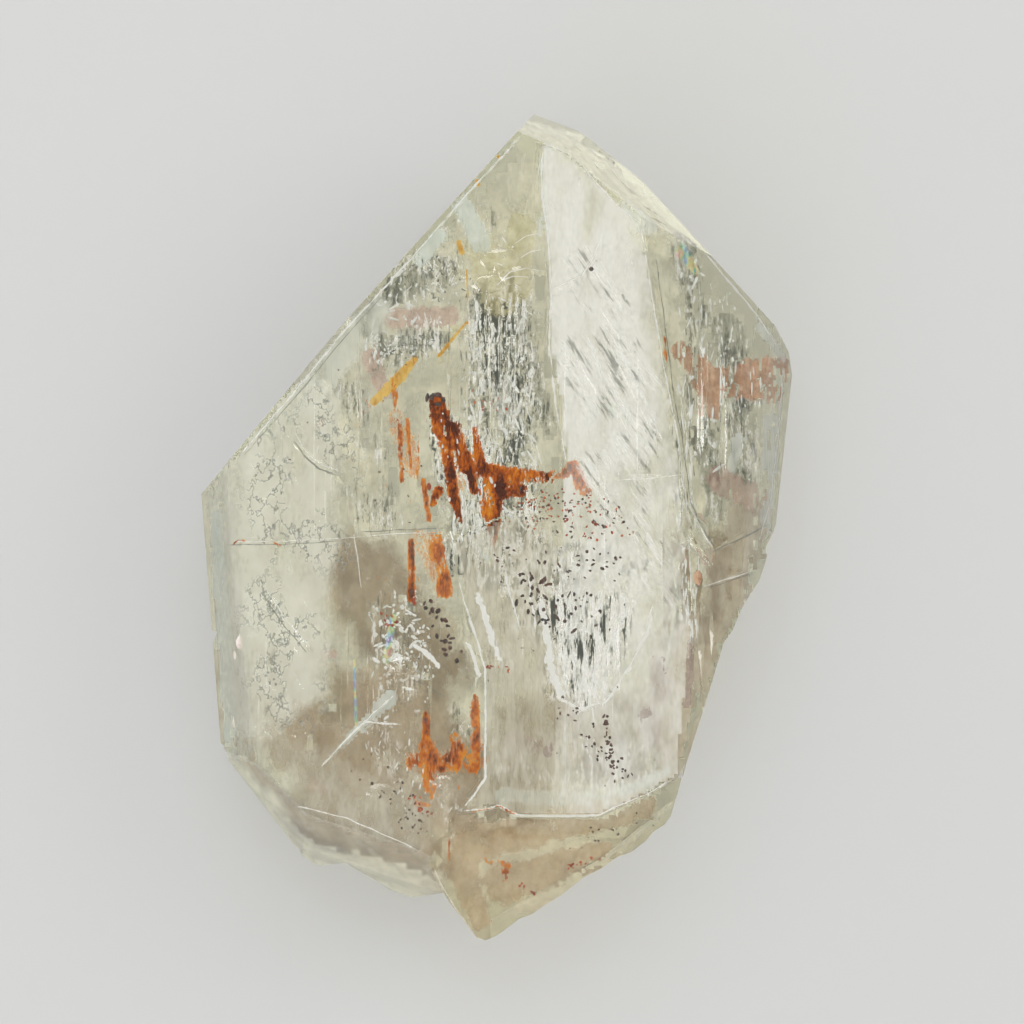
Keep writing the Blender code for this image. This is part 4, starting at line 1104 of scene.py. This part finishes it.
def make_stains():
    """Shade and tints at the low end, and stains in olive, brown, tan, pink and purple."""
    shade = stain("low_shade", 0.85, across=0.8, along=0.4, sharpness=1.4)
    tint = stain("low_tint", 0.42, across=1.2, along=0.6)
    olive = stain("olive_field", 0.55, across=2.2, along=1.6)
    brown = stain("brown_zone", 0.2, across=2.4, along=1.0)
    tan = stain("tan_patches", 0.82, across=2.4, along=2.0, sharpness=3.0)
    pink = stain("pink_patches", 0.55, across=2.4, along=1.4)
    purple = stain("purple_patches", 0.55, across=4.0, along=1.2)
    film("low_shade", LOW_SHADE, 4.0, shade, step=0.4, crumple=0.8, within=WHOLE_FRONT, seed=18)
    film("low_tint", LOW_TINT, 0.9, tint, step=0.3, crumple=0.2, seed=49)
    film("olive_field", OLIVE_FIELD, 1.4, olive, seed=12)
    film("brown_zone", BROWN_ZONE, 1.2, brown, seed=13)
    film("foot_tan", FOOT_TAN, 0.6, stain("foot_tan", 0.65), seed=14)
    film("tan_patches", TAN_PATCHES, 1.5, tan, step=0.12, seed=15)
    film("pink_patches", PINK_PATCHES, 2.0, pink, step=0.15, seed=16)
    film("purple_patches", PURPLE_PATCHES, 0.5, purple, step=0.15, seed=17)


def make_rust():
    """Iron films in the heart, in columns, at the foot and along cracks, and amber ones above them."""
    heart = rust("rust_heart", thick=0.1)
    patch = rust("rust_patch", share=0.7, thick=-0.1, ragged=2.8, threshold=0.5)
    thin = rust("rust_thin", share=0.9, thick=-0.1, ragged=3.6, threshold=0.55)
    faint = rust("rust_faint", share=0.5, thick=-0.3, ragged=4.0, threshold=0.8)
    amber = rust("amber_film", share=0.9, stops=AMBER_STOPS)
    film("rust_heart", RUST_HEART, 0.5, heart, step=0.08, crumple=0.35, ragged=0.7, seed=21)
    film("rust_columns", RUST_COLUMNS, 0.4, thin, step=0.06, crumple=0.2, ragged=0.9, seed=22)
    film("rust_foot", RUST_FOOT, 0.4, thin, step=0.08, crumple=0.25, ragged=0.9, seed=23)
    film("rust_faint", RUST_FAINT, 0.9, faint, step=0.12, seed=24)
    film("rust_patch", RUST_PATCH, 0.2, patch, step=0.08, crumple=0.0, ragged=0.8, seed=28)
    film("amber_band", AMBER_BAND, 1.0, amber, step=0.08, crumple=0.2, seed=25)
    film("amber_head", AMBER_HEAD, 0.3, amber, step=0.05, crumple=0.1, ragged=0.15, seed=26)
    ribbons("rust_lines", RUST_LINES, thin, seed=27)


def make_lines():
    """Light and dark lines: painted highlights and shade along edges and steps, and light and dark cracks;
    white blades and rainbow-coloured cracks.
    """
    # Painted highlights along edges, steps and ripples; also light cracks and the white blades
    white = stain("painted_highlight_and_crack_line", 1.0, across=5.0, along=2.0, sharpness=4.0)
    # Painted shade along edges and steps, and dark cracks
    dark = stain("painted_shade_and_crack_line", 0.85, across=5.0, along=2.0, sharpness=3.0)
    ribbons("painted_highlight_and_crack_lines", PAINTED_HIGHLIGHT_AND_CRACK_LINES, white, seed=31)
    ribbons("painted_shade_and_crack_lines", PAINTED_SHADE_AND_CRACK_LINES, dark, depth=0.09, seed=32)
    ribbons("blades", BLADES, white, depth=0.2, wander=0.16, seed=33)
    film("rainbow_cracks", RAINBOW_STROKES, 0.7, rainbow(), step=0.06, crumple=0.2, seed=34)


def make_grains():
    """White and dark flakes, painted as glints and dark reflections, black and red specks, the iron bead
    and the chip scars.
    """
    just_under = (0.12, 0.28)
    # Flakes painted white as glints, and flakes painted dark as dark reflections
    glint_finish = mineral("painted_glint_flake", 0.3)
    dark_reflection_finish = mineral("painted_dark_reflection_flake", 0.4)
    black = mineral("dark_speck", 0.45)
    red = mineral("red_speck", 0.45)
    grains("painted_glint_flakes", PAINTED_GLINT_FLAKES, glint_finish, swell=1.15, seed=41)
    grains("painted_dark_reflection_flakes", PAINTED_DARK_REFLECTION_FLAKES, dark_reflection_finish, seed=42)
    grains("dark_specks", DARK_SPECKS, black, depth=just_under, flat=0.6, swell=1.5, seed=43)
    grains("red_specks", RED_SPECKS, red, depth=just_under, flat=0.6, swell=1.5, seed=44)
    grains("iron_bead", IRON_BEAD, mineral("iron_bead", 0.45, 1.2), depth=(0.5, 0.51), flat=0.8)
    grains("chip_scars", CHIP_SCARS, mineral("chip_scar", 0.6, 0.9), depth=(0.12, 0.16), flat=0.3)


make_camera()
make_floor()
make_world()
for lamp in LAMPS:
    soft_box(*lamp)

PATCHY = patchy_group()
FIBRES = fibre_group()
stone = make_stone()
PROBE = BVHTree.FromObject(stone, bpy.context.evaluated_depsgraph_get())
make_veils()
make_haze()
make_windows()
make_stains()
make_rust()
make_lines()
make_grains()

bpy.context.scene.view_settings.view_transform = "Standard"
cycles = bpy.context.scene.cycles
cycles.max_bounces = 8
cycles.diffuse_bounces = 1
cycles.transmission_bounces = 7
cycles.transparent_max_bounces = 24
cycles.caustics_reflective = False
cycles.caustics_refractive = False
cycles.use_denoising = True
cycles.adaptive_threshold = 0.13
